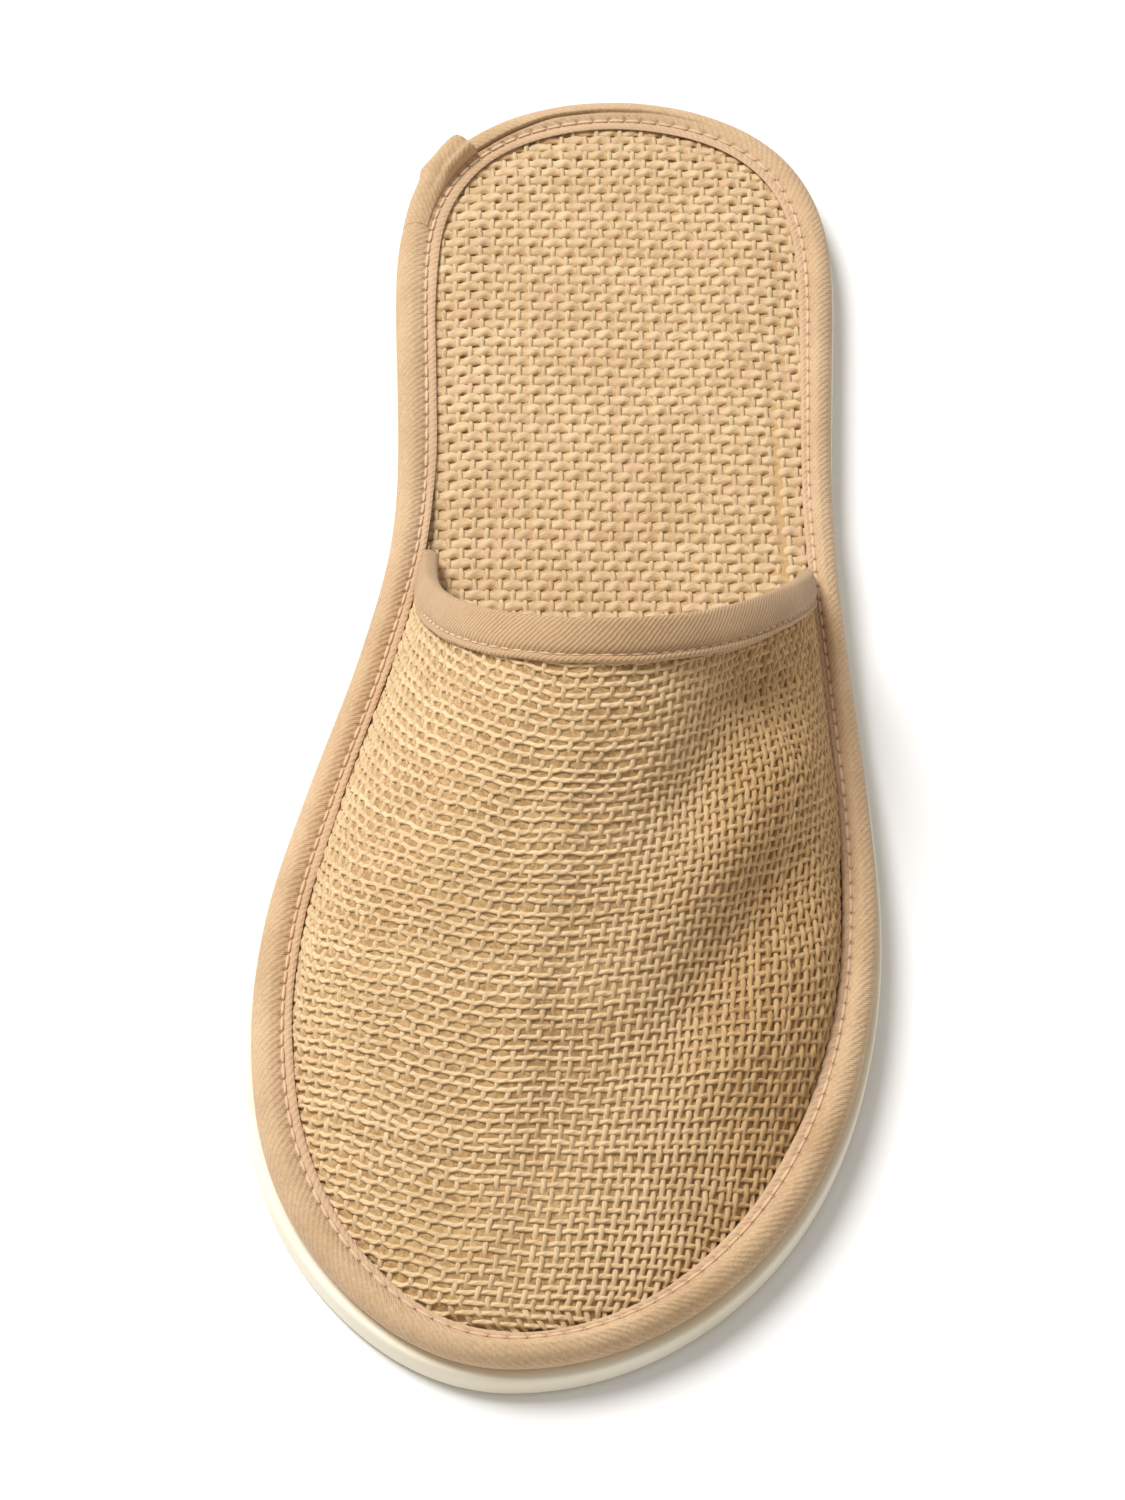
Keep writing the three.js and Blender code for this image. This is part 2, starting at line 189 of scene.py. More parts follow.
# The slipper's own sizes, as in the solids: the bound edge from toe to heel
edgeSizes = {
    "length": 281.0,
    "toeAcross": -9.8,
    "heelAcross": 12.3,
    "station": (0.0, 0.1, 0.2, 0.3, 0.4, 0.5, 0.6, 0.7, 0.8, 0.9, 1.0),
    "medial": (64.0, 63.7, 58.5, 52.0, 44.2, 37.8, 35.3, 39.4, 49.0, 64.5, 83.0),
    "lateral": (78.5, 73.5, 67.2, 60.8, 54.3, 49.1, 46.4, 47.6, 53.4, 65.5, 83.0),
    "medialTape": (5.2, 6.7, 6.8, 6.7, 6.3, 6.2, 6.5, 7.0, 7.4, 7.6, 7.7),
    "lateralTape": (5.2, 6.5, 6.4, 6.2, 5.8, 5.5, 5.5, 5.7, 6.2, 7.0, 7.7),
    "ledge": (1.2, 1.2, 1.2, 1.1, 0.8, 0.4, 0.3, 0.4, 0.5, 0.5, 0.4),
    "tapeWidth": 6.6,
    "rollInset": 2.0,
}
layers = {
    "gap": 0.3,
    "sole": 5.0,
    "tape": 0.6,
    "insoleEdge": 7.3,
    "insoleCrown": 0.7,
    "wall": 1.1,
    "seamTop": 8.7,
    "wallInset": 7.0,
    "seamInset": 2.1,
}
vampSizes = {
    "station": (0.0, 0.006, 0.03, 0.1, 0.2, 0.3, 0.4, 0.5, 0.575),
    "rise": (0.0, 1.9, 3.9, 8.2, 14.8, 21.4, 28.6, 36.6, 43.0),
    "lean": (0.0, 0.0, 0.2, 2.0, 8.0, 17.0, 27.5, 38.0, 45.0),
    "crestShift": -6.0,
    "throat": 0.575,
    "toeFoot": 0.6,
    "toeFootEnd": (0.05, 0.30),
    "throatArch": (-1.571, -1.45, -1.3, -1.1, -0.8, -0.4, 0.0, 0.4, 0.7, 1.0, 1.25, 1.571),
    "throatBack": (5.8, 2.8, 0.5, -0.5, -1.1, -1.2, -0.9, -0.4, 0.7, 2.2, 2.7, 1.8),
}


def columnCurve(sizes, key, by="station"):  # smooth curve through one column
    places = np.array(sizes[by], float)
    values = np.array(sizes[key], float)
    before = np.maximum(np.arange(len(places)) - 1, 0)
    after = np.minimum(np.arange(len(places)) + 1, len(places) - 1)
    slopes = (values[after] - values[before]) / (places[after] - places[before])

    def curve(at):
        i = np.clip(np.searchsorted(places, at, side="left") - 1, 0, len(places) - 2)
        span = places[i + 1] - places[i]
        t = np.clip((at - places[i]) / span, 0, 1)
        rest = 1 - t
        start = values[i] * (1 + 2 * t) * rest**2 + slopes[i] * span * t * rest**2
        return start + values[i + 1] * t**2 * (3 - 2 * t) - slopes[i + 1] * span * t**2 * rest

    return curve


medialFullness, lateralFullness = columnCurve(edgeSizes, "medial"), columnCurve(edgeSizes, "lateral")
medialTape, lateralTape = columnCurve(edgeSizes, "medialTape"), columnCurve(edgeSizes, "lateralTape")
soleLedge = columnCurve(edgeSizes, "ledge")
vampRise, vampLean = columnCurve(vampSizes, "rise"), columnCurve(vampSizes, "lean")
throatAngle = math.acos(1 - 2 * vampSizes["throat"])
throatBack = columnCurve(vampSizes, "throatBack", "throatArch")  # millimetres behind the throat's station
seamPace = edgeSizes["length"] / 2 * math.sin(throatAngle)  # millimetres along the shoe for one radian


def smooth(at, low, high):
    t = np.clip((at - low) / (high - low), 0, 1)
    return t * t * (3 - 2 * t)


def unit(vectors):
    return vectors / np.maximum(np.linalg.norm(vectors, axis=-1, keepdims=True), 1e-9)


def mixed(pair, share):
    return pair[0] * (1 - share) + pair[1] * share


def paired(first, second):  # both as arrays of one shape
    return np.broadcast_arrays(np.asarray(first, float), np.asarray(second, float))


def summed(steps):
    return np.concatenate([[0.0], np.cumsum(steps)])


def runOf(path):  # distance along a line at each of its points
    return summed(np.linalg.norm(np.diff(path, axis=0), axis=1))


def throatEnd(arch):  # angle at which the cloth ends there
    return throatAngle + throatBack(arch) / seamPace


def stationAt(angle):  # angle is 0 at the toe, pi at the heel, positive on the outer side
    return (1 - np.cos(angle)) / 2


def edgePoint(angle):
    station = stationAt(angle)
    side = np.sin(angle)
    fullness = np.where(side >= 0, lateralFullness(station), medialFullness(station))
    axis = edgeSizes["toeAcross"] + (edgeSizes["heelAcross"] - edgeSizes["toeAcross"]) * station
    return np.stack([axis + side * fullness, edgeSizes["length"] * (station - 0.5)], axis=-1)


def rimPoint(angle, inset):
    angle, inset = paired(angle, inset)
    along = unit(edgePoint(angle + nudge) - edgePoint(angle - nudge))
    inward = np.stack([-along[..., 1], along[..., 0]], axis=-1)
    return edgePoint(angle) + inward * inset[..., None]


def tapeRim(angle, inset):  # the inset is stretched to the tape's width there
    angle, inset = paired(angle, inset)
    station = stationAt(angle)
    width = np.where(np.sin(angle) >= 0, lateralTape(station), medialTape(station))
    roll = edgeSizes["rollInset"]
    stretch = (width - roll) / (edgeSizes["tapeWidth"] - roll)
    return rimPoint(angle, np.where(inset <= roll, inset, roll + (inset - roll) * stretch))


soleTurns = np.linspace(-pi, pi, 961)
soleOutline = rimPoint(soleTurns, -soleLedge(stationAt(soleTurns)))
standShift = -(soleOutline.min(axis=0) + soleOutline.max(axis=0)) / 2  # the slipper stands over the origin


def atHeight(flat, height):  # plan points and heights to points in the shared frame
    flat = np.asarray(flat) + standShift
    return np.concatenate([flat, np.broadcast_to(height, flat.shape[:-1])[..., None]], axis=-1)


def vampPoint(angle, arch, depth):  # arch runs from -pi/2 at the inner seam over the crest to pi/2
    angle, arch = paired(angle, arch)
    medial = tapeRim(-angle, layers["wallInset"])
    lateral = tapeRim(angle, layers["wallInset"])
    middle, half = (medial + lateral) / 2, (lateral - medial) / 2
    reach = np.linalg.norm(half, axis=-1)
    half = half * (1 - depth * layers["wall"] / (reach + layers["wall"]))[..., None]
    station = stationAt(angle)
    foot = 1 + vampSizes["toeFoot"] * (1 - smooth(station, *vampSizes["toeFootEnd"]))
    crest = np.maximum(np.cos(arch), 0) ** foot  # the cloth leaves the seam more softly at the toe
    shift = vampSizes["crestShift"] * crest**2 * np.minimum(1, reach / (2 * layers["wallInset"]))
    flat = middle + half * np.sin(arch)[..., None]
    flat = flat + np.stack([shift, -vampLean(station) * crest], axis=-1)
    return atHeight(flat, layers["seamTop"] - depth * layers["wall"] + vampRise(station) * crest)


# Meshes
def meshObject(name, points, faces, finishes, faceFinish=None, uv=None):
    mesh = bpy.data.meshes.new(name)
    mesh.from_pydata((np.asarray(points).reshape(-1, 3) * mm).tolist(), [], np.asarray(faces).tolist())
    if uv is not None:
        layer = mesh.uv_layers.new(name="cloth")
        layer.data.foreach_set("uv", np.asarray(uv, np.float32).ravel())
    for finish in finishes:
        mesh.materials.append(finish.material)
    if faceFinish is not None:
        mesh.polygons.foreach_set("material_index", np.asarray(faceFinish, np.int32))
    mesh.polygons.foreach_set("use_smooth", [True] * len(mesh.polygons))
    mesh.update()
    return linked(name, mesh)


def store(mesh, label, values):  # a number or a vector for each point
    kind, field = ("FLOAT_VECTOR", "vector") if values.ndim > 1 else ("FLOAT", "value")
    mesh.attributes.new(label, kind, "POINT").data.foreach_set(field, values.astype(np.float32).ravel())


def gridQuads(rows, cols, rowsClosed=False, colsClosed=False):  # rows and columns of corners, not wrapped
    r = np.arange(rows if rowsClosed else rows - 1)
    c = np.arange(cols if colsClosed else cols - 1)
    r, c = [v.ravel() for v in np.meshgrid(r, c, indexing="ij")]
    return np.stack([r, r + 1, r + 1, r], axis=1), np.stack([c, c, c + 1, c + 1], axis=1)


def loft(name, grid, finishes, uv, rowsClosed=False, flip=False, faceFinish=None):  # rows are closed loops
    rows, cols = grid.shape[:2]
    r, c = gridQuads(rows, cols, rowsClosed, True)
    if flip:
        r, c = r[:, ::-1], c[:, ::-1]
    kinds = None if faceFinish is None else faceFinish(c.min(axis=1))
    return meshObject(name, grid, (r % rows) * cols + (c % cols), finishes, kinds, uv[r, c])


def closeMesh(piece, openEnds=False):  # fills open ends or merges doubled points, and turns faces outwards
    work = bmesh.new()
    work.from_mesh(piece.data)
    if openEnds:
        bmesh.ops.holes_fill(work, edges=[edge for edge in work.edges if edge.is_boundary], sides=0)
    else:
        bmesh.ops.remove_doubles(work, verts=work.verts, dist=1e-6)
        bmesh.ops.dissolve_degenerate(work, edges=work.edges, dist=1e-7)
    bmesh.ops.recalc_face_normals(work, faces=work.faces)
    work.to_mesh(piece.data)
    work.free()
    return piece


def slab(name, loops, rim, finish, around=480, rungs=40):
    half = around // 2
    turns = np.linspace(0, pi, half + 1)
    turns = np.concatenate([turns, -turns[-2:0:-1]])
    rings = np.stack([atHeight(rim(turns, inset), z) for inset, z in loops])
    r, c = gridQuads(len(loops), around, False, True)
    points, faces = [rings.reshape(-1, 3)], [r * around + c % around]
    r, c = gridQuads(half + 1, rungs + 1)
    share = np.linspace(0, 1, rungs + 1)[None, :, None]
    for ring in (rings[0], rings[-1]):  # both flat faces are ladders across the foot
        back = ring[(-np.arange(half + 1)) % around]
        ladder = ring[: half + 1, None] * (1 - share) + back[:, None] * share
        faces.append(sum(len(part) for part in points) + r * (rungs + 1) + c)
        points.append(ladder.reshape(-1, 3))
    return closeMesh(meshObject(name, np.concatenate(points), np.concatenate(faces), [finish]))


def rideAndReplace(piece, slot, *nodes):
    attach(piece, "root")
    if nodes:
        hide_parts(*nodes)


# Sole: flat cream foam
soleLook = {
    "colour": paint(251, 244, 225),
    "shade": paint(245, 235, 210),
    "lowBand": paint(212, 198, 168),
    "lowBandHeight": 1.2,  # the darker patches reach this far up the side
    "roughness": 0.5,
    "grain": 2600.0,
    "grainDepth": 0.05,
    "loops": (  # inset and height round the edge, from the underside to the top
        (1.2, 0.0), (0.65, 0.12), (0.3, 0.45), (0.08, 0.9), (0.0, 1.5), (0.0, 2.6), (0.0, 3.9),
        (0.06, 4.35), (0.2, 4.7), (0.45, 4.92), (0.8, 5.0), (1.2, 5.0)),
}


def soleFinish(look):
    finish = Finish("soleFoam", look["roughness"], 0.0, 0.35)
    height = finish.split(finish.place)[2]
    cloud = finish.noise(35.0, 3.0)
    colour = finish.mix(finish.between(cloud, 0.35, 0.7), look["colour"], look["shade"])
    lowBand = look["lowBandHeight"] * mm
    # darker patches towards the bottom of the side
    lowPatches = finish.noise(160.0, 5.0, 0.7) * finish.between(lowBand - height, 0.0, lowBand)
    finish.set("Base Color", finish.mix(lowPatches * 0.8, colour, look["lowBand"]))
    finish.set("Roughness", finish.noise(90.0, 2.0) * 0.2 + (look["roughness"] - 0.1))
    finish.bump(finish.noise(look["grain"], 2.0) + finish.noise(300.0, 2.0) * 0.8, look["grainDepth"], 0.6)
    return finish


def soleRim(turn, inset):
    return rimPoint(turn, inset - soleLedge(stationAt(turn)))


soleSlab = slab("soleSlab", soleLook["loops"], soleRim, soleFinish(soleLook))
rideAndReplace(soleSlab, "sole_foam", "outsole")
print("sole made")


# Weaves: yarn paths are worked out here and swept by Geometry Nodes
yarnPoints = 3.0  # points on a yarn for each pitch


class Wander:  # a few slow waves with a fixed seed, for uneven spacing and thickness
    def __init__(self, seed, longest, shortest, count=6):
        dice = np.random.default_rng(seed)
        sizes = 2 * pi / np.exp(dice.uniform(math.log(shortest), math.log(longest), count))
        heading = dice.uniform(0, 2 * pi, count)
        self.acrossRate, self.alongRate = sizes * np.cos(heading), sizes * np.sin(heading)
        self.phase = dice.uniform(0, 2 * pi, count)

    def __call__(self, across, along=0.0):
        across, along = np.asarray(across, float)[..., None], np.asarray(along, float)[..., None]
        waves = np.sin(across * self.acrossRate + along * self.alongRate + self.phase)
        return waves.mean(axis=-1) * 1.6


def startTree(name, sizes):  # a mesh and named sizes come in, a mesh goes out
    tree = bpy.data.node_groups.new(name, "GeometryNodeTree")
    tree.interface.new_socket("Geometry", in_out="INPUT", socket_type="NodeSocketGeometry")
    for label in sizes:
        tree.interface.new_socket(label, in_out="INPUT", socket_type="NodeSocketFloat")
    tree.interface.new_socket("Geometry", in_out="OUTPUT", socket_type="NodeSocketGeometry")
    nodes = NodeMaker(tree)
    inputs = nodes.node("NodeGroupInput")
    return nodes, inputs, {label: Value(nodes, inputs.socket.node.outputs[label]) for label in sizes}


def endTree(nodes, made, finish):
    made = nodes.node("GeometryNodeSetShadeSmooth", None, {"Geometry": made})
    made = nodes.node("GeometryNodeRealizeInstances", None, {"Geometry": made})
    made = nodes.node("GeometryNodeSetMaterial", None, {"Geometry": made, "Material": finish.material})
    nodes.node("NodeGroupOutput", None, {0: made})
    return nodes.tree


def plainMesh(piece, tree, sizes):  # sets the tree's inputs, evaluates it and keeps the result as a mesh
    modifier = piece.modifiers.new("nodes", "NODES")
    modifier.node_group = tree
    for item in tree.interface.items_tree:
        if item.in_out == "INPUT" and item.name in sizes:
            modifier[item.identifier] = sizes[item.name]
    evaluated = piece.evaluated_get(bpy.context.evaluated_depsgraph_get())
    mesh = bpy.data.meshes.new_from_object(evaluated)
    piece.modifiers.clear()
    piece.data = mesh
    piece.data.name = piece.name


def yarnTree(name, finish, sides, sizes, upright):
    nodes, inputs, asked = startTree(name, sizes)
    thick = nodes.node("GeometryNodeInputNamedAttribute", {"data_type": "FLOAT"}, {"Name": "thick"})
    path = nodes.node("GeometryNodeMeshToCurve", None, {"Mesh": inputs})
    if upright:
        path = nodes.node("GeometryNodeSetCurveNormal", {"mode": "Z_UP"}, {"Curve": path})
    path = nodes.node("GeometryNodeSetCurveRadius", None, {"Curve": path, "Radius": thick})
    ring = nodes.node("GeometryNodeCurvePrimitiveCircle", None, {"Resolution": sides, "Radius": 0.5})
    size = nodes.node("ShaderNodeCombineXYZ", None, {"X": asked["Width"], "Y": asked["Height"], "Z": 1.0})
    spot = nodes.node("GeometryNodeInputPosition")
    ring = nodes.node("GeometryNodeStoreNamedAttribute", {"data_type": "FLOAT_VECTOR"}, {
        "Geometry": ring, "Name": "ring", "Value": spot})
    ring = nodes.node("GeometryNodeTransform", None, {"Geometry": ring, "Scale": size})
    tube = nodes.node("GeometryNodeCurveToMesh", None, {
        "Curve": path, "Profile Curve": ring, "Fill Caps": True})
    return endTree(nodes, tube, finish)


def sweepYarns(name, yarns, finish, sides, size, upright=False):
    edges, start = [], 0
    for yarn in yarns:
        count = len(yarn["points"])
        edges.append(np.stack([np.arange(count - 1), np.arange(1, count)], axis=1) + start)
        start += count
    points = np.concatenate([yarn["points"] for yarn in yarns]) * mm
    mesh = bpy.data.meshes.new(name)
    mesh.from_pydata(points.tolist(), np.concatenate(edges).tolist(), [])
    for label in ("thick", "along", "tone"):
        values = [np.broadcast_to(yarn[label], len(yarn["points"])) for yarn in yarns]
        store(mesh, label, np.concatenate(values))
    piece = linked(name, mesh)
    sizes = {"Width": size[0] * mm, "Height": size[1] * mm}
    plainMesh(piece, yarnTree(name + "Tree", finish, sides, sizes, upright), sizes)
    print(name, "yarns", len(yarns), "faces", len(piece.data.polygons))
    return piece


def paintedShadeShare(finish):  # where painted shade darkens the vamp: 0 on the inner half, 1 towards its outer side
    return finish.between(finish.split(finish.place)[0], 2 * mm, 34 * mm)


def yarnFinish(name, look, plyDepth, toeShade=0.0, outerPaintedShade=None):
    finish = Finish(name, 0.85, 0.15, 0.25)
    along, tone = finish.attribute("along"), finish.attribute("tone")
    ring = finish.split(finish.attribute("ring", "Vector"))
    around = finish.maths("ARCTAN2", ring[1], ring[0])
    plies = finish.wave(along * (2 * pi / look["twist"]) + around * 2)
    streak = finish.noise(1.0, 3.0, 0.6, finish.vector(ring[0] * 7.0, ring[1] * 7.0, along * 0.9))
    patch = finish.noise(70.0, 3.0, 0.6) * 0.5 + finish.noise(310.0, 2.0, 0.5) * 0.5
    warm = finish.noise(130.0, 2.0, 0.5, finish.scaled(finish.place, (1.0, 1.7, 1.0)))
    # painted shade: the toe-facing side of each yarn is darker, as if lit from the heel
    shaded = finish.between(ring[0], 0.0, 0.42) * toeShade
    shade = finish.between(tone * 0.5 + streak * 0.6 + patch * 0.8 - plies * 0.06 + shaded, 0.65, 1.45)
    colour = finish.mix(shade, look["light"], look["dark"])
    colour = finish.mix(finish.between(warm, 0.52, 0.72) * 0.5, colour, look["pink"])
    # painted shade: the yarns turn darker and warmer towards the vamp's outer side, away from the key light
    if outerPaintedShade:
        colour = finish.mix(paintedShadeShare(finish), colour, outerPaintedShade, "MULTIPLY")
    finish.set("Base Color", colour)
    finish.set("Roughness", streak * 0.25 + 0.7)
    finish.bump(plies * 0.6 + streak * 1.2, plyDepth, 0.8)
    return finish


# Insole: padded board under a tight plain weave
insoleLook = {
    "pitch": (2.27, 2.33),  # between warps, between wefts
    "cover": (56, 146),  # half of what the weave covers, across and along the shoe
    "warpSize": (1.02, 0.72),  # across and through the yarn
    "weftSize": (2.66, 0.72),
    "warpCrimp": 0.36,
    "weftCrimp": 0.16,
    "midPlane": -0.38,  # below the solid's top
    "tilt": 1.2,  # degrees between the weave and the shoe's axis
    "slant": 0.29,  # floats lie a little askew in their row
    "stray": 0.09,  # yarns lie about this far off their even places
    "drift": (0.28, 0.30),  # slow bends of the weave, across and along the shoe
    "quiver": (0.16, 0.18),  # short bends of each yarn
    "lumps": 0.15,
    "thickStray": 0.05,
    "toneStray": 0.12,
    "squeeze": 0.06,  # a yarn is this much thinner where it lies on top
    "twist": 3.2,
    "light": paint(229, 203, 161),
    "dark": paint(194, 157, 112),
    "pink": paint(222, 182, 150),
    "board": paint(206, 168, 118),
    "boardFibre": paint(206, 166, 116),
    "underTape": 4.3,  # yarns end this far inside the bound edge
    "fewest": 6,  # points that a yarn needs
    "crownStart": (8.6, 13.4),  # the padding rises over this distance from the edge
    "loops": (  # inset and height of the board, from the underside to the top
        (7.5, 5.3), (7.5, 6.2), (1.9, 6.2), (1.5, 6.4), (1.5, 6.55), (1.8, 6.65), (5.0, 6.78),
        (9.0, 6.9), (13.0, 7.5), (18.0, 7.68)),
}
rimTurns = np.linspace(-pi, pi, 1441)[:-1]
rimLine = tapeRim(rimTurns, 0.0) + standShift
rimInward = tapeRim(rimTurns, 1.0) + standShift - rimLine


def edgeAway(flat, batch=2000):  # distance inwards from the bound edge, by its nearest point
    away = np.empty(len(flat))
    for start in range(0, len(flat), batch):
        part = flat[start:start + batch]
        apart = part[:, None] - rimLine[None]
        near = np.argmin((apart**2).sum(axis=2), axis=1)
        away[start:start + batch] = (apart[np.arange(len(part)), near] * rimInward[near]).sum(axis=1)
    return away


def boardFinish(look):
    finish = Finish("insoleBoard", 0.95)
    fibres = finish.noise(900.0, 4.0, 0.7)
    finish.set("Base Color", finish.mix(fibres, look["board"], look["boardFibre"]))
    finish.bump(fibres, 0.08)
    return finish


def insoleYarns(look, kind):
    warp = kind == "warp"
    other = 0 if warp else 1  # warps and wefts have their own seeds
    dice = np.random.default_rng(21 + other)
    driftA, driftB = Wander(31, 90, 18), Wander(32, 80, 16)
    lumps, quiver = Wander(33 + other, 14, 3), Wander(35 + other, 12, 4, 8)
    pitch, otherPitch = look["pitch"] if warp else look["pitch"][::-1]
    spread, reach = look["cover"] if warp else look["cover"][::-1]
    tilt = math.radians(look["tilt"])
    turn = np.array([[math.cos(tilt), -math.sin(tilt)], [math.sin(tilt), math.cos(tilt)]])
    yarns = []
    for number in range(-int(spread / pitch), int(spread / pitch) + 1):
        along = np.arange(-reach, reach, otherPitch / yarnPoints)
        steady = np.full_like(along, number * pitch + dice.normal(0, look["stray"]))
        across, down = (steady, along) if warp else (along, steady)
        across = across + look["drift"][0] * driftA(across, down)
        across = across + look["quiver"][0] * quiver(along, number * 9.1)
        down = down + look["drift"][1] * driftB(across, down)
        down = down + look["quiver"][1] * quiver(along + 400, number * 8.3)
        phase = pi * (along / otherPitch + number)
        if not warp:
            down = down + look["slant"] * np.sin(phase)
        flat = np.stack([across, down], axis=1) @ turn.T
        away = edgeAway(flat)
        inside = np.where(away > look["underTape"])[0]
        if len(inside) < look["fewest"]:
            continue
        keep = slice(inside[0], inside[-1] + 1)
        over = -np.cos(phase) if warp else np.cos(phase)  # 1 where this yarn lies on top
        top = layers["insoleEdge"] + layers["insoleCrown"] * smooth(away, *look["crownStart"])
        height = top + look["midPlane"] + look[kind + "Crimp"] * over
        thick = dice.normal(1, look["thickStray"]) * (1 + look["lumps"] * lumps(along, number * 7.3))
        thick = thick * (1 - look["squeeze"] * over)
        yarns.append({
            "points": np.concatenate([flat, height[:, None]], axis=1)[keep],
            "thick": thick[keep],
            "along": along[keep],
            "tone": float(np.clip(dice.normal(0.5, look["toneStray"]), 0, 1)),
        })
    return yarns


insoleBoard = slab("insoleBoard", insoleLook["loops"], tapeRim, boardFinish(insoleLook))
rideAndReplace(insoleBoard, "insole_weave", "insole")
insoleWarp = sweepYarns("insoleWarp", insoleYarns(insoleLook, "warp"),
                        yarnFinish("insoleWarp", insoleLook, 0.15), 6, insoleLook["warpSize"], True)
# the wefts get painted shade on their toe-facing side
insoleWeft = sweepYarns("insoleWeft", insoleYarns(insoleLook, "weft"),
                        yarnFinish("insoleWeft", insoleLook, 0.2, 0.6), 8, insoleLook["weftSize"], True)
for weave in (insoleWarp, insoleWeft):
    rideAndReplace(weave, "insole_weave")
print("insole woven")

# Upper: one vamp of open weave on a tan backing, with its main creases in the shoe's own millimetres
vampLook = {
    "pitch": 1.87,
    "tightPitch": 1.47,  # between warps on the outer side
    "warpSize": (1.0, 0.56),  # across and through the yarn
    "weftSize": (1.05, 0.54),
    "warpCrimp": (0.36, 0.24),  # on the inner side and on the outer side
    "weftCrimp": (0.12, 0.12),
    "warpRaise": (-0.06, 0.03),
    "weftRaise": (0.12, 0.02),
    "warpDelay": (1.25, 0.15),  # the warp comes up on the toe side of the weft, in radians
    "warpSwell": 0.16,  # warps are thicker on the outer side, wefts thinner
    "weftSwell": -0.10,
    "warpUneven": 0.13,  # how far a yarn leaves its height
    "weftUneven": 0.05,
    "outerSide": (6.0, 24.0),  # where across the cloth the one look turns into the other, at the throat
    "outerLean": 20.0,  # and how much nearer to the inner side that lies at the toe
    "rowSag": (0.0165, 0.0080),  # rows bend towards the heel at the sides, most at the toe's inner side
    "outerSag": 0.003,
    "sagReach": 35.0,
    "toeEnd": (10.0, 75.0),  # the toe's rows turn into the throat's over this distance from the toe
    "rowTilt": -0.02,  # rows at the toe turn this much
    "rowZigzag": 0.17,
    "stray": 0.13,  # yarns lie about this far off their even places
    "drift": (0.34, 0.40),  # slow bends of the weave, across and along the cloth
    "quiver": 0.19,  # short bends of each yarn
    "lumps": 0.40,
    "thickStray": 0.11,
    "thickLimits": (0.55, 1.7),
    "slub": (0.35, 2.2),  # thicker spots and their half length
    "toneStray": 0.14,
    "twist": 1.9,
    "warps": (-44, 50),  # numbers of the warps, counted from the crest
    "firstWeft": -14,
    "toePast": 2.0,  # warps start this far past the toe, wefts this far from the crest
    "spread": 82.0,
    "fewest": 4,  # points that a yarn needs
    "tuck": 2.4,  # yarns run this far past the seam, under the edge tape
    "midPlane": -0.24,  # below the solid's outside
    "backing": (-0.15, -0.45),
    "backingTurn": (0.1, 0.9),  # and the part of the arch over which it goes from the one to the other
    "tapeCover": 4.9,  # the weave ends this far short of the throat's edge
    "light": paint(238, 210, 166),
    "dark": paint(194, 157, 108),
    "pink": paint(230, 194, 150),
    "backLight": paint(206, 171, 122),
    "backDark": paint(166, 130, 86),
    # painted shade for the vamp's outer side, multiplied into the yarns and the backing
    "outerPaintedShade": paint(228, 215, 195),
    "lining": paint(186, 152, 106),
    "liningShade": paint(174, 136, 90),
    "liningPitch": 0.9,
    "liningWidth": 136.0,
}
creases = (  # path in plan, height (a trough is below zero) and half width
    {"path": ((34.9, -13.4), (25.4, -37.1), (15.6, -55.6)), "height": -2.8, "width": 6.5},
    {"path": ((38.5, -27.1), (27.5, -50.1), (16.7, -67.0)), "height": 1.4, "width": 6.0},
    {"path": ((40.4, -47.5), (26.4, -71.3), (13.5, -90.1)), "height": -2.5, "width": 6.5},
    {"path": ((33.9, -79.3), (22.6, -94.1)), "height": 1.2, "width": 6.0},
    {"path": ((1.6, -34.0), (-2.3, -52.7), (-6.2, -74.9), (-10.2, -101.3), (-14.2, -126.0)),
     "height": 0.9, "width": 4.0},
)


def creaseLift(flat):  # soft troughs and ridges, fading towards the ends of each path
    lift = np.zeros(flat.shape[:-1])
    for crease in creases:
        path = np.array(crease["path"])
        legs = np.linalg.norm(np.diff(path, axis=0), axis=1)
        total, done = legs.sum(), 0.0
        best = np.full(lift.shape, np.inf)
        where = np.zeros(lift.shape)
        for start, end, leg in zip(path[:-1], path[1:], legs):
            share = np.clip(((flat - start) @ (end - start)) / leg**2, 0, 1)
            apart = np.linalg.norm(flat - (start + share[..., None] * (end - start)), axis=-1)
            nearer = apart < best
            best = np.where(nearer, apart, best)
            where = np.where(nearer, (done + share * leg) / total, where)
            done += leg
        fade = smooth(where, -0.15, 0.25) * (1 - smooth(where, 0.75, 1.15))
        lift += crease["height"] * fade * np.exp(-((best / crease["width"]) ** 2))
    return lift


toeStart = 0.004  # the cloth's first row, as a share of the way to the throat
vampTurns = (throatAngle + max(vampSizes["throatBack"]) / seamPace) * np.linspace(toeStart, 1, 270)
vampArches = np.linspace(-pi / 2, pi / 2, 361)
vampGrid = vampPoint(vampTurns[:, None], vampArches[None, :], 0.0)
rowSteps = np.linalg.norm(np.diff(vampGrid, axis=1), axis=2)
rowReach = np.concatenate([np.zeros((len(vampTurns), 1)), np.cumsum(rowSteps, axis=1)], axis=1)
crestColumn = len(vampArches) // 2
rowReach = rowReach - rowReach[:, crestColumn:crestColumn + 1]  # distance across the cloth from the crest
rowAlong = unit(np.diff(vampGrid, axis=1)[:, ::6])
rowStep = np.diff(vampGrid, axis=0)[:, :-1:6]
rowStep = rowStep - (rowStep * rowAlong[:-1]).sum(axis=2, keepdims=True) * rowAlong[:-1]
rowApart = np.linalg.norm(rowStep, axis=2).mean(axis=1)
rowDown = summed(rowApart)  # distance along the cloth from the toe
clothLength = float(np.interp(throatAngle, vampTurns, rowDown))
clothWidth = float(rowReach[-1, -1] - rowReach[-1, 0])
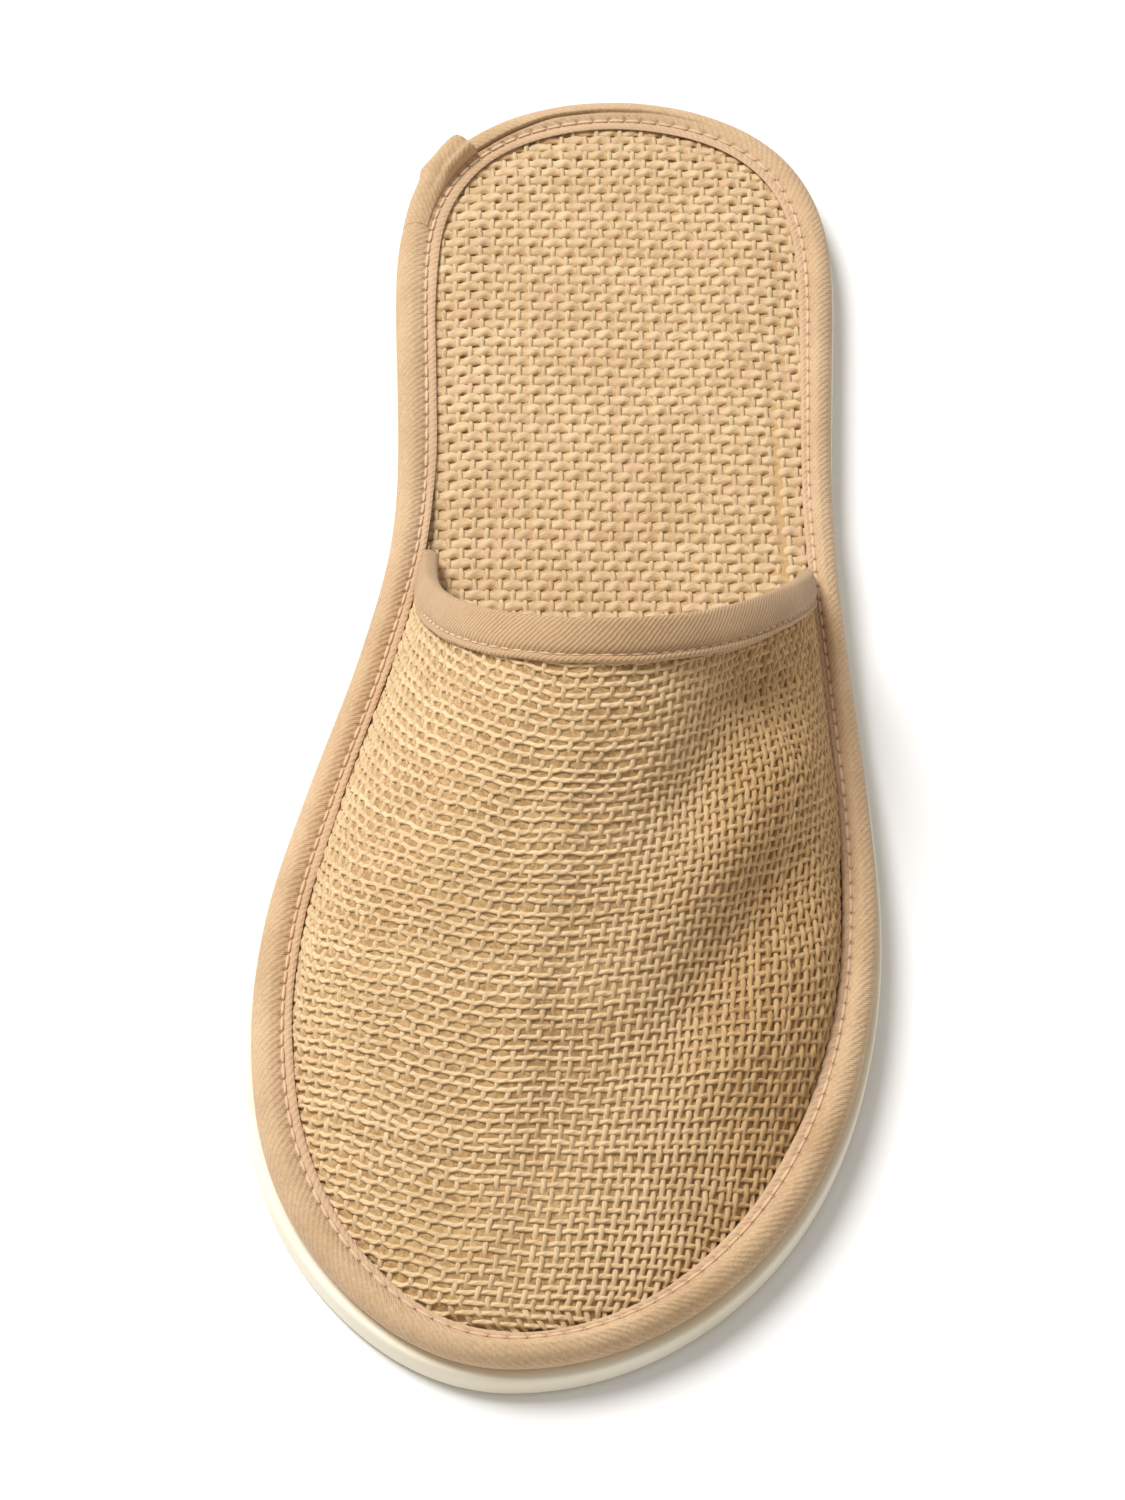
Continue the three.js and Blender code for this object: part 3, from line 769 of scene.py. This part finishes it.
print("vamp cloth", round(clothLength, 1), "mm long,", round(clothWidth, 1), "wide")

clothStep = 0.5
clothDown = np.arange(-4.0, rowDown[-1] + clothStep, clothStep)
clothWide = np.arange(-84.0, 84.0 + clothStep, clothStep)


def clothMap():  # points and normals of the vamp over a flat cloth, carried on flat past the seam
    turns = np.interp(clothDown, rowDown, vampTurns)
    arches = np.empty((len(clothDown), len(clothWide)))
    over = np.empty_like(arches)
    for i, turn in enumerate(turns):
        place = np.interp(turn, vampTurns, np.arange(len(vampTurns)))
        low = min(int(place), len(vampTurns) - 2)
        reach = rowReach[low] * (1 - place + low) + rowReach[low + 1] * (place - low)
        arches[i] = np.interp(clothWide, reach, vampArches)
        over[i] = np.maximum(clothWide - reach[-1], 0) + np.minimum(clothWide - reach[0], 0)
    points = vampPoint(turns[:, None], arches, 0.0)
    chord = unit(tapeRim(turns, layers["wallInset"]) - tapeRim(-turns, layers["wallInset"]))
    points[..., :2] += over[..., None] * chord[:, None]
    points[..., 1] += np.minimum(clothDown, 0)[:, None]
    normals = unit(np.cross(np.gradient(points, axis=1), np.gradient(points, axis=0)))
    inside = (over == 0) & (clothDown[:, None] > 0)
    points = points + normals * (creaseLift(points[..., :2]) * inside)[..., None]
    past = np.abs(over) + np.maximum(-clothDown, 0)[:, None]
    return points, normals, past, clothDown[:, None] - throatBack(arches)


clothPoints, clothNormals, clothPast, clothTrim = clothMap()


def onCloth(down, wide, table):  # smooth reading of a table over the cloth
    i = np.clip((down - clothDown[0]) / clothStep, 0, len(clothDown) - 1.001)
    j = np.clip((wide - clothWide[0]) / clothStep, 0, len(clothWide) - 1.001)
    low, left = i.astype(int), j.astype(int)
    a, b = i - low, j - left
    if table.ndim == 3:
        a, b = a[:, None], b[:, None]
    top = table[low, left] * (1 - b) + table[low, left + 1] * b
    return top * (1 - a) + (table[low + 1, left] * (1 - b) + table[low + 1, left + 1] * b) * a


warpPlaces = np.arange(-90.0, 90.1, clothStep)
wideStep, tightStep = 1 / vampLook["pitch"], 1 / vampLook["tightPitch"]
warpStep = wideStep + (tightStep - wideStep) * smooth(warpPlaces, *vampLook["outerSide"])
warpCount = summed((warpStep[1:] + warpStep[:-1]) * clothStep / 2)
warpCount = warpCount - np.interp(0.0, warpPlaces, warpCount)  # warps between the crest and a place


def vampYarns(look, kind):
    warp = kind == "warp"
    other = 0 if warp else 1
    dice = np.random.default_rng(41 + other)
    driftA, driftB = Wander(51, 70, 14, 8), Wander(52, 70, 14, 8)
    lumps, quiver = Wander(53 + other, 12, 2.5, 8), Wander(55 + other, 12, 3.5, 8)
    uneven = Wander(57 + other, 16, 3, 8)
    pitch = look["pitch"]
    span = (-look["toePast"], clothDown[-1]) if warp else (-look["spread"], look["spread"])
    yarns = []
    for number in range(*(look["warps"] if warp else (look["firstWeft"], int(clothDown[-1] / pitch) + 1))):
        along = np.arange(span[0], span[1], pitch / yarnPoints)
        steady = float(np.interp(number, warpCount, warpPlaces)) if warp else number * pitch
        steady = np.full_like(along, steady + dice.normal(0, look["stray"]))
        wide, down = (steady, along) if warp else (along, steady)
        side = smooth(wide + look["outerLean"] * (1 - down / clothLength), *look["outerSide"])
        keys = (kind + "Raise", kind + "Crimp", "warpDelay")
        raised, crimp, delay = [mixed(look[key], side) for key in keys]
        toeward = 1 - smooth(down, *look["toeEnd"])
        toeSag = np.where(wide < 0, look["rowSag"][0], look["outerSag"])
        sag = toeSag * toeward + look["rowSag"][1] * (1 - toeward)
        sag = sag * wide**2 / (1 + (wide / look["sagReach"]) ** 2) + look["rowTilt"] * toeward * wide
        row = (down - sag) / pitch if warp else number
        phase = pi * (row + np.interp(wide, warpPlaces, warpCount))
        if warp:
            lift = raised - crimp * np.cos(phase - delay)
        else:
            lift = raised + crimp * np.cos(phase)
            down = down + sag - look["rowZigzag"] * (1 - side) * np.cos(phase)
        wide = wide + look["drift"][0] * driftA(wide, down)
        wide = wide + look["quiver"] * quiver(along, number * 9.7)
        down = down + look["drift"][1] * driftB(wide, down)
        down = down + look["quiver"] * quiver(along + 300, number * 8.9)
        lift = lift + look[kind + "Uneven"] * uneven(along, number * 11.3)
        shown = onCloth(down, wide, clothTrim) < clothLength - look["tapeCover"]
        inside = np.where((onCloth(down, wide, clothPast) < look["tuck"]) & shown)[0]
        if len(inside) < look["fewest"]:
            continue
        keep = slice(inside[0], inside[-1] + 1)
        lift = (lift + look["midPlane"])[:, None]
        points = onCloth(down, wide, clothPoints) + onCloth(down, wide, clothNormals) * lift
        thick = dice.normal(1, look["thickStray"]) * (1 + look["lumps"] * lumps(along, number * 5.1))
        thick = thick * (1 + look[kind + "Swell"] * side)
        for slub in dice.uniform(span[0], span[1], 2):
            swell = look["slub"][0] * np.exp(-(((along - slub) / look["slub"][1]) ** 2))
            thick = thick + swell * (dice.random() < 0.5)
        yarns.append({
            "points": points[keep],
            "thick": np.clip(thick, *look["thickLimits"])[keep],
            "along": along[keep],
            "tone": float(np.clip(dice.normal(0.5, look["toneStray"]), 0, 1)),
        })
    return yarns


def backingFinish(look):
    finish = Finish("vampBacking", 0.95, 0.1)
    fibres = finish.noise(1100.0, 4.0, 0.7)
    cloud = finish.noise(60.0, 3.0)
    lit = finish.between(fibres * 0.8 + cloud * 0.3, 0.42, 0.68)
    colour = finish.mix(lit, look["backDark"], look["backLight"])
    # painted shade: the backing darkens half as much towards the vamp's outer side
    finish.set("Base Color", finish.mix(paintedShadeShare(finish) * 0.5, colour, look["outerPaintedShade"], "MULTIPLY"))
    finish.bump(fibres, 0.1)
    return finish


def liningFinish(look):
    finish = Finish("vampLining", 0.95, 0.1)
    cloth = finish.split(finish.node("ShaderNodeUVMap", {"uv_map": "cloth"}))
    rate = 2 * pi / (look["liningPitch"] * mm)
    grid = finish.wave(cloth[0] * rate) * finish.wave(cloth[1] * rate)
    finish.set("Base Color", finish.mix(finish.noise(300.0, 3.0), look["lining"], look["liningShade"]))
    finish.bump(grid * 0.5 + finish.noise(900.0, 3.0), 0.06)
    return finish


def vampShell(look):
    share = np.linspace(toeStart, 1, 150)[::-1]
    arches = np.linspace(-pi / 2, pi / 2, 121)
    turns = share[:, None] * throatEnd(arches)[None]
    outer = vampPoint(turns, arches[None, :], 0.0)
    inner = vampPoint(turns, arches[None, :], 1.0)
    normals = unit(np.cross(np.gradient(outer, axis=0), np.gradient(outer, axis=1)))
    bend = creaseLift(outer[..., :2])[..., None]
    backing = mixed(look["backing"], smooth(arches, *look["backingTurn"])[None, :, None])
    inner = inner + normals * bend
    outer = outer + normals * (bend + backing)

    def seam(side, height):  # the cloth's flat edge under the tape
        edge = turns[:, -1] if side > 0 else -turns[:, 0]
        return atHeight(tapeRim(edge, layers["seamInset"]), height)[:, None]

    top, under = layers["seamTop"], layers["seamTop"] - layers["wall"]
    grid = np.concatenate([
        seam(-1, top), outer, seam(1, top), seam(1, under), inner[:, ::-1], seam(-1, under)], axis=1)
    rows, cols = grid.shape[:2]
    lengths = np.linspace(0, 1, rows + 1)[:, None] * clothLength
    widths = np.linspace(0, 2, cols + 1)[None] * look["liningWidth"]
    uv = np.stack(np.broadcast_arrays(widths, lengths), axis=2) * mm
    liningStart = len(arches) + 2  # the column of faces after the outside and its seams
    return loft("vampShell", grid, [backingFinish(look), liningFinish(look)], uv,
                faceFinish=lambda column: (column >= liningStart).astype(int))


vampBody = closeMesh(vampShell(vampLook))
rideAndReplace(vampBody, "vamp_weave", "upper")
vampYarn = yarnFinish("vampYarn", vampLook, 0.1, 0.0, vampLook["outerPaintedShade"])
for kind, name in (("warp", "vampWarp"), ("weft", "vampWeft")):
    weave = sweepYarns(name, vampYarns(vampLook, kind), vampYarn, 6, vampLook[kind + "Size"])
    rideAndReplace(weave, "vamp_weave")
print("vamp woven")

# Tapes: fine twill, folded round the edges
edgeTapeLook = {
    "steps": 1100,
    "stitchPitch": 3.1,
    "stitchFold": 2.0,  # where on the fold the stitches run, and their holes beside them
    "holeFold": 2.35,
    "stitch": {"Length": 3.0, "Width": 0.7, "Height": 0.5},
    "stitchRise": 0.10,
    "pull": 0.10,  # the tape dips this much at the joints of the stitches
    "puff": 0.10,
    "lipSway": 0.22,
    "ribPitch": 1.4,
    "ribLean": -1.2,
    "ribTone": 0.06,
    "lip": (2.2, 0.9),  # the pinker lip fades out between these distances from its edge
    "light": paint(221, 189, 151),
    "dark": paint(187, 153, 114),
    "pink": paint(220, 184, 152),
    "thread": paint(226, 194, 160),
    "threadShade": paint(222, 186, 150),
    # needle holes, painted as dots of shade
    "holeShade": paint(140, 104, 72),
    # fold: painted shade along the line of the heel's crease
    "fold": paint(112, 78, 48),
}
heelCrease = {  # starts at the folded tail and runs round the heel
    "start": (-2.70, -2.66),
    "end": (-3.44, -3.0),
    "fold": 3.0,  # where on the fold it starts, and how far it moves out
    "moves": 0.45,
    "movesOver": (2.68, 3.0),
    "wander": 0.16,
    "halfWidth": 0.12,
    "depth": 0.62,
    "ridge": 0.22,  # rise of the tape on the outer side of the crease
}
edgeFolds = {
    "fold": (0, 1, 2, 3, 4, 5, 6, 7, 8, 9, 10),
    "outer": (6.6, 6.0, 5.0, 3.9, 2.6, 1.1, 0.25, 0.0, 0.35, 1.2, 7.2),
    "outerLevel": (1, 1, 1, 1, 1, 1, 1, 0.5, 0, 0, 0),
    "outerLift": (0.32, 0.52, 0.42, 1.0, 1.3, 0.7, -0.5, 0, 0.6, 0, 0),
    "inner": (6.6, 5.8, 4.8, 3.7, 2.6, 1.7, 1.15, 1.1, 1.15, 1.8, 7.2),
    "innerLevel": (1, 1, 1, 1, 1, 1, 1, 0.5, 0, 0, 0),
    "innerLift": (0, 0, 0, 0, 0, 0, -0.5, 0, 1.1, 0.6, 0.6),
}
tapeColumns = {key: columnCurve(edgeFolds, key, "fold") for key in edgeFolds if key != "fold"}
stepDown = (0.01, 0.14)  # the tape steps down over these angles behind the throat


def boundTop(turn):
    around = np.abs((turn + pi) % (2 * pi) - pi)
    end = throatEnd(np.where(np.sin(turn) < 0, -pi / 2, pi / 2))
    past = smooth(around, end + stepDown[0], end + stepDown[1])
    return layers["gap"] + layers["seamTop"] + (layers["insoleEdge"] - layers["seamTop"]) * past


def tapePoint(turn, fold, side="outer", over=0.0, shiftIn=0.0, shiftUp=0.0):
    turn, fold = paired(turn, fold)
    level = tapeColumns[side + "Level"](fold)
    inset = tapeColumns[side](fold) + shiftIn
    under = layers["sole"] + layers["gap"]
    height = under + (boundTop(turn) - under) * level + tapeColumns[side + "Lift"](fold) + shiftUp
    flat = tapeRim(turn, inset - over * (1 - np.minimum(1, inset / 3)))
    return atHeight(flat, height + over * np.minimum(1, inset / 1.4) * level)


def tapeUv(run, grid, row):  # along the tape, and across it as measured at one row
    across = runOf(np.concatenate([grid[row], grid[row, :1]]))
    return np.stack(np.broadcast_arrays(run[:, None], across[None]), axis=2) * mm


def tapeFinish(name, look, lip, holes=None):
    finish = Finish(name, 0.85, 0.2, 0.25)
    along, across = finish.split(finish.node("ShaderNodeUVMap", {"uv_map": "cloth"}))[:2]
    bend = finish.noise(120.0, 3.0) * (look["ribPitch"] * 1.8 * mm)
    rate = 2 * pi / (look["ribPitch"] * mm)
    ribs = finish.wave((along + across * look["ribLean"] + bend) * rate)
    threads = finish.wave((along - across * 0.6) * (rate * 3.1)) * 0.35
    fuzz = finish.noise(1500.0, 3.0, 0.7)
    cloud = finish.noise(55.0, 3.0)
    tone = 0.5 - ribs * look["ribTone"] - threads * 0.2
    shade = finish.between(tone + (fuzz - 0.5) * 0.9 + (cloud - 0.5) * 0.9, 0.1, 0.95)
    colour = finish.mix(shade, look["light"], look["dark"])
    colour = finish.mix(finish.between(across, lip[0] * mm, lip[1] * mm) * 0.4, colour, look["pink"])
    if holes:  # painted shade along the heel's crease, and small needle holes painted as dots of shade beside the joints of the stitches
        pitch, line = holes[0] * mm, holes[1] * mm
        beside = (finish.maths("FRACT", along / pitch + 0.5) - 0.5) * pitch
        away = finish.maths("SQRT", beside * beside + (across - line) * (across - line))
        colour = finish.mix(finish.attribute("fold") * 0.7, colour, look["fold"])
        colour = finish.mix(finish.between(away, 0.55 * mm, 0.2 * mm) * 0.45, colour, look["holeShade"])
    finish.set("Base Color", colour)
    finish.bump(ribs * 0.35 + threads * 0.4 + fuzz * 0.8, 0.15, 0.7)
    return finish


def edgeTapeShape(look, mark):
    turns = np.linspace(0, 2 * pi, look["steps"], endpoint=False)
    run = runOf(tapePoint(np.append(turns, 2 * pi), look["stitchFold"]))
    at = run[:-1]
    count = round(run[-1] / look["stitchPitch"])
    pitch = run[-1] / count
    outerFolds = np.concatenate([
        np.linspace(0, 2.6, 16), np.linspace(2.7, 4.7, 24), np.linspace(4.95, 8, 12), [9, 10]])
    innerFolds = np.array([9.5, 9, 8, 7, 6, 5, 4, 3, 2, 1, 0.15])
    wobble, ripple = Wander(61, 60, 9, 8), Wander(62, 40, 6, 8)
    lipSway = look["lipSway"] * wobble(at)[:, None] * smooth(-outerFolds, -1.2, 0)[None]
    atStitch = np.exp(-(((outerFolds - look["stitchFold"]) / 0.6) ** 2))[None]
    pull = look["pull"] * np.cos(2 * pi * at / pitch)[:, None] * atStitch
    puff = look["puff"] * ripple(at, 3.0)[:, None] * np.exp(-(((outerFolds - 4) / 1.8) ** 2))[None]
    heelward = turns - 2 * pi
    strength = (1 - smooth(heelward, *mark["start"])) * smooth(heelward, *mark["end"])
    strength = (strength * (1 + 0.3 * ripple(at, 17.0)))[:, None]
    markFold = mark["fold"] + mark["moves"] * smooth(-heelward, *mark["movesOver"])
    markFold = markFold + mark["wander"] * wobble(at * 2.3, 5.0)
    away = (outerFolds[None] - markFold[:, None]) / mark["halfWidth"]
    crease = strength * (mark["depth"] * np.exp(-(away**2)) - mark["ridge"] * smooth(away, 0.3, 2.5))
    outer = tapePoint(turns[:, None], outerFolds[None], "outer", 0.0, lipSway, puff - pull - crease)
    inner = tapePoint(turns[:, None], innerFolds[None], "inner")
    grid = np.concatenate([outer, inner], axis=1)
    uv = tapeUv(run, grid, 200)
    across = uv[0, :len(outerFolds), 1] / mm
    holeLine = float(np.interp(look["holeFold"], outerFolds, across))
    finish = tapeFinish("edgeTape", look, look["lip"], (pitch, holeLine))
    piece = loft("edgeTape", grid, [finish], uv, True, True)
    # how strongly the painted shade of the heel's crease falls on each point
    fold = np.zeros(grid.shape[:2])
    fold[:, :len(outerFolds)] = strength * np.exp(-((away * 0.9) ** 2))
    store(piece.data, "fold", fold.ravel())
    return closeMesh(piece), pitch, count


edgeTape, edgeStitchPitch, edgeStitchCount = edgeTapeShape(edgeTapeLook, heelCrease)
rideAndReplace(edgeTape, "edge_tape", "edge_binding")


def threadFinish(look):
    finish = Finish("stitchThread", 0.7, 0.1, 0.3)
    tint = finish.noise(130.0, 2.0)
    finish.set("Base Color", finish.mix(finish.between(tint, 0.4, 0.65), look["thread"], look["threadShade"]))
    finish.bump(finish.noise(2600.0, 2.0), 0.05)
    return finish


def stitchTree(name, finish, sizes):
    nodes, inputs, asked = startTree(name, sizes)
    heading, upward = [
        nodes.node("GeometryNodeInputNamedAttribute", {"data_type": "FLOAT_VECTOR"}, {"Name": label})
        for label in ("heading", "upward")]
    turn = nodes.node("FunctionNodeAlignRotationToVector", {"axis": "Z"}, {"Vector": upward})
    turn = nodes.node("FunctionNodeAlignRotationToVector", {"axis": "X", "pivot_axis": "Z"}, {
        "Rotation": turn, "Vector": heading})
    ball = nodes.node("GeometryNodeMeshUVSphere", None, {"Segments": 6, "Rings": 5, "Radius": 0.5})
    ball = nodes.node("GeometryNodeTransform", None, {"Geometry": ball, "Rotation": (0.0, pi / 2, 0.0)})
    size = nodes.node("ShaderNodeCombineXYZ", None, {
        "X": asked["Length"], "Y": asked["Width"], "Z": asked["Height"]})
    jitter = nodes.node("FunctionNodeRandomValue", {"data_type": "FLOAT"}, {2: 0.85, 3: 1.1, "Seed": 7}, 1)
    size = nodes.node("ShaderNodeVectorMath", {"operation": "SCALE"}, {"Vector": size, "Scale": jitter})
    row = nodes.node("GeometryNodeInstanceOnPoints", None, {
        "Points": inputs, "Instance": ball, "Rotation": turn, "Scale": size})
    return endTree(nodes, row, finish)


def stitchRow(name, points, heading, upward, look):
    mesh = bpy.data.meshes.new(name)
    mesh.from_pydata((points * mm).tolist(), [], [])
    store(mesh, "heading", heading)
    store(mesh, "upward", upward)
    piece = linked(name, mesh)
    sizes = {key: value * mm for key, value in look["stitch"].items()}
    plainMesh(piece, stitchTree(name + "Tree", threadFinish(look), sizes), sizes)
    return piece


def edgeStitches(look):
    line, beside = look["stitchFold"], 0.4
    fine = np.linspace(0, 2 * pi, 6001)
    run = runOf(tapePoint(fine, line))
    turns = np.interp((np.arange(edgeStitchCount) + 0.5) * edgeStitchPitch, run, fine)
    points = tapePoint(turns, line) + np.array([0, 0, look["stitchRise"]])
    heading = tapePoint(turns + 3 * nudge, line) - tapePoint(turns - 3 * nudge, line)
    upward = np.cross(tapePoint(turns, line - beside) - tapePoint(turns, line + beside), heading)
    return stitchRow("edgeStitches", points, heading, upward * np.sign(upward[:, 2:]), look)


stitches = edgeStitches(edgeTapeLook)
rideAndReplace(stitches, "edge_tape")
print("edge tape sewn, stitches", edgeStitchCount)

# Throat tape: folded over the vamp's top edge
throatTapeLook = {
    "width": 7.0,
    "fold": 0.6,
    "endRise": 2.0,
    "sway": 0.12,
    "swayFrom": 4.5,  # from the throat's edge
    "profile": (  # from the lower edge upwards: distance from that edge, and lift off the cloth
        (0.5, 0.20), (0.0, 0.38), (-0.1, 0.72), (0.2, 1.08), (0.65, 1.12), (1.05, 0.80), (1.3, 0.55),
        (1.55, 0.72), (2.0, 1.10), (2.8, 1.28), (4.0, 1.25), (5.2, 1.18), (6.2, 1.0), (7.0, 0.9)),
    "stitchPitch": 2.6,
    "stitchAway": 1.35,  # from the tape's lower edge
    "stitchLift": 0.6,
    "stitchRise": 0.06,
    "stitchReach": 1.45,  # along the arch, to both sides
    "stitch": {"Length": 2.0, "Width": 0.42, "Height": 0.36},
    "ribPitch": 0.95,
    "ribLean": -0.8,
    "ribTone": 0.36,
    "lip": (2.4, 0.6),
    "light": paint(206, 172, 132),
    "dark": paint(170, 134, 96),
    "pink": paint(214, 178, 138),
    "thread": paint(226, 198, 164),
    "threadShade": paint(222, 186, 150),
}


def vampNormal(angle, arch, depth):
    along = vampPoint(angle, arch, depth) - vampPoint(angle - nudge, arch, depth)
    across = vampPoint(angle, arch + nudge, depth) - vampPoint(angle, arch - nudge, depth)
    return unit(np.cross(across, along))


def throatHeading(arches):  # how far the cloth's edge moves back for a small step of the angle
    return vampPoint(throatAngle, arches, 0.0) - vampPoint(throatAngle - nudge, arches, 0.0)


def throatLine(arches, leg, depth, lift):  # points below the throat's edge, lifted off the cloth
    speed = np.linalg.norm(throatHeading(arches), axis=-1) / nudge
    angle = throatEnd(arches) - leg / speed
    return vampPoint(angle, arches, depth) + vampNormal(angle, arches, depth) * lift


def throatTapeShape(look):
    endArch = math.acos(look["endRise"] / vampSizes["rise"][-1])
    arches = np.linspace(-endArch, endArch, 401)
    wide, thick = look["width"], layers["tape"]
    lining = layers["gap"] + thick  # the tape's inner leg lies this far inside the cloth
    back = unit(throatHeading(arches))
    reach = runOf(throatLine(arches, 0, 0.0, 0))
    sway = look["sway"] * Wander(71, 30, 5, 8)(reach)
    columns = []
    for away, lift in look["profile"]:
        leg = wide - away
        columns.append(throatLine(arches, leg + sway * (leg > look["swayFrom"]), 0.0, lift))
    outside, inside = columns[-1], throatLine(arches, 0.0, 1.0, -lining)
    for share in (0.12, 0.3, 0.5, 0.7, 0.88):
        push = (look["fold"] + thick) * math.sqrt(1 - (2 * share - 1) ** 2)
        columns.append(outside * (1 - share) + inside * share + back * push)
    columns.append(inside)
    for leg, depth in ((wide / 2, lining), (wide, lining), (wide, 0.05)):
        columns.append(throatLine(arches, leg, 1.0, -depth))
    grid = np.stack(columns, axis=1)
    for row in (0, -1):  # both cut ends are drawn together a little
        grid[row] = grid[row] * 0.8 + grid[row].mean(axis=0) * 0.2
    finish = tapeFinish("throatTape", look, look["lip"])
    return closeMesh(loft("throatTape", grid, [finish], tapeUv(reach, grid, 200)), True)


throatTape = throatTapeShape(throatTapeLook)
rideAndReplace(throatTape, "throat_tape", "throat_binding")


def throatStitches(look):
    leg, lift = look["width"] - look["stitchAway"], look["stitchLift"]
    arches = np.linspace(-look["stitchReach"], look["stitchReach"], 3001)
    run = runOf(throatLine(arches, leg, 0.0, lift))
    count = int(run[-1] / look["stitchPitch"])
    at = np.interp((np.arange(count) + 0.5) * look["stitchPitch"], run, arches)
    points = throatLine(at, leg, 0.0, lift + look["stitchRise"])
    heading = throatLine(at + 4 * nudge, leg, 0.0, lift) - throatLine(at - 4 * nudge, leg, 0.0, lift)
    upward = throatLine(at, leg, 0.0, 1.0) - throatLine(at, leg, 0.0, 0.0)
    return stitchRow("throatStitches", points, heading, upward, look)


throatThread = throatStitches(throatTapeLook)
rideAndReplace(throatThread, "throat_tape")
print("throat tape sewn")

# Tail: the tape's folded end over its own start, beside the heel
tailLook = {
    "turns": (-2.42, -2.71),
    "share": (0.0, 0.2, 0.4, 0.52, 0.6, 0.75, 0.9, 1.0),
    "thick": (0.0, 0.2, 0.5, 1.0, 1.8, 1.9, 2.3, 2.4),
    "steps": 80,
    "folds": (2.7, 8.0),
    "roundEnd": (0.92, 0.08),  # its end is rounded from this share of its length, over this share
    "pleat": 0.35,
    "pleatFold": 3.9,
    "lip": (1.2, 0.2),
}


def tapeTailShape(look):
    share = np.linspace(0, 1, look["steps"])
    turns = look["turns"][0] + (look["turns"][1] - look["turns"][0]) * share
    ending = np.clip((share - look["roundEnd"][0]) / look["roundEnd"][1], 0, 1)
    thick = columnCurve(look, "thick", "share")(share) * np.sqrt(np.clip(1 - ending**2, 0, 1))
    folds = np.linspace(*look["folds"], 40)
    edgeRound = np.sqrt(np.clip(1 - (np.abs(folds - 5.35) / 2.66) ** 8, 0, 1))
    pleat = np.exp(-(((folds[None] - look["pleatFold"]) / 0.25) ** 2))
    pleat = look["pleat"] * smooth(share, 0.15, 0.6)[:, None] * pleat
    cover = 0.08 + (layers["gap"] * smooth(share, 0.0, 0.4) + thick)[:, None] * edgeRound[None] - pleat
    outer = tapePoint(turns[:, None], folds[None], "outer", cover)
    inner = tapePoint(turns[:, None], folds[None, ::-2], "outer", -0.1)
    grid = np.concatenate([outer, inner], axis=1)
    finish = tapeFinish("tailTape", edgeTapeLook, look["lip"])
    return closeMesh(loft("tapeTail", grid, [finish], tapeUv(runOf(grid[:, 8]), grid, 20)), True)


tapeTail = tapeTailShape(tailLook)
rideAndReplace(tapeTail, "edge_tape", "binding_tail")
print("tape tail made")

# Floor and light
studio = {
    "floor": paint(248, 248, 249),
    "floorHalf": 4000,
    "sky": (1.0, 0.955, 0.885, 1.0),
    "world": 0.43,
    "key": {"place": (-1.27, 0.92, 2.22), "size": 1.3, "power": 75.0},
}


def makeStudio(look):
    pale = Finish("paleFloor", 0.9, 0.0, 0.1)
    pale.set("Base Color", look["floor"])
    half = look["floorHalf"]
    corners = [(-half, -half, 0), (half, -half, 0), (half, half, 0), (-half, half, 0)]
    meshObject("floor", corners, [(0, 1, 2, 3)], [pale])
    world = bpy.data.worlds.new("studio")
    world.use_nodes = True
    world.node_tree.nodes["Background"].inputs["Color"].default_value = look["sky"]
    world.node_tree.nodes["Background"].inputs["Strength"].default_value = look["world"]
    bpy.context.scene.world = world
    data = bpy.data.lights.new("key", "AREA")
    data.shape = "DISK"
    data.size = look["key"]["size"]
    data.energy = look["key"]["power"]
    key = linked("key", data)
    key.location = look["key"]["place"]
    key.rotation_euler = Vector(look["key"]["place"]).to_track_quat("Z", "Y").to_euler()
    bpy.context.scene.view_settings.view_transform = "Standard"


makeStudio(studio)
print("floor and light set")
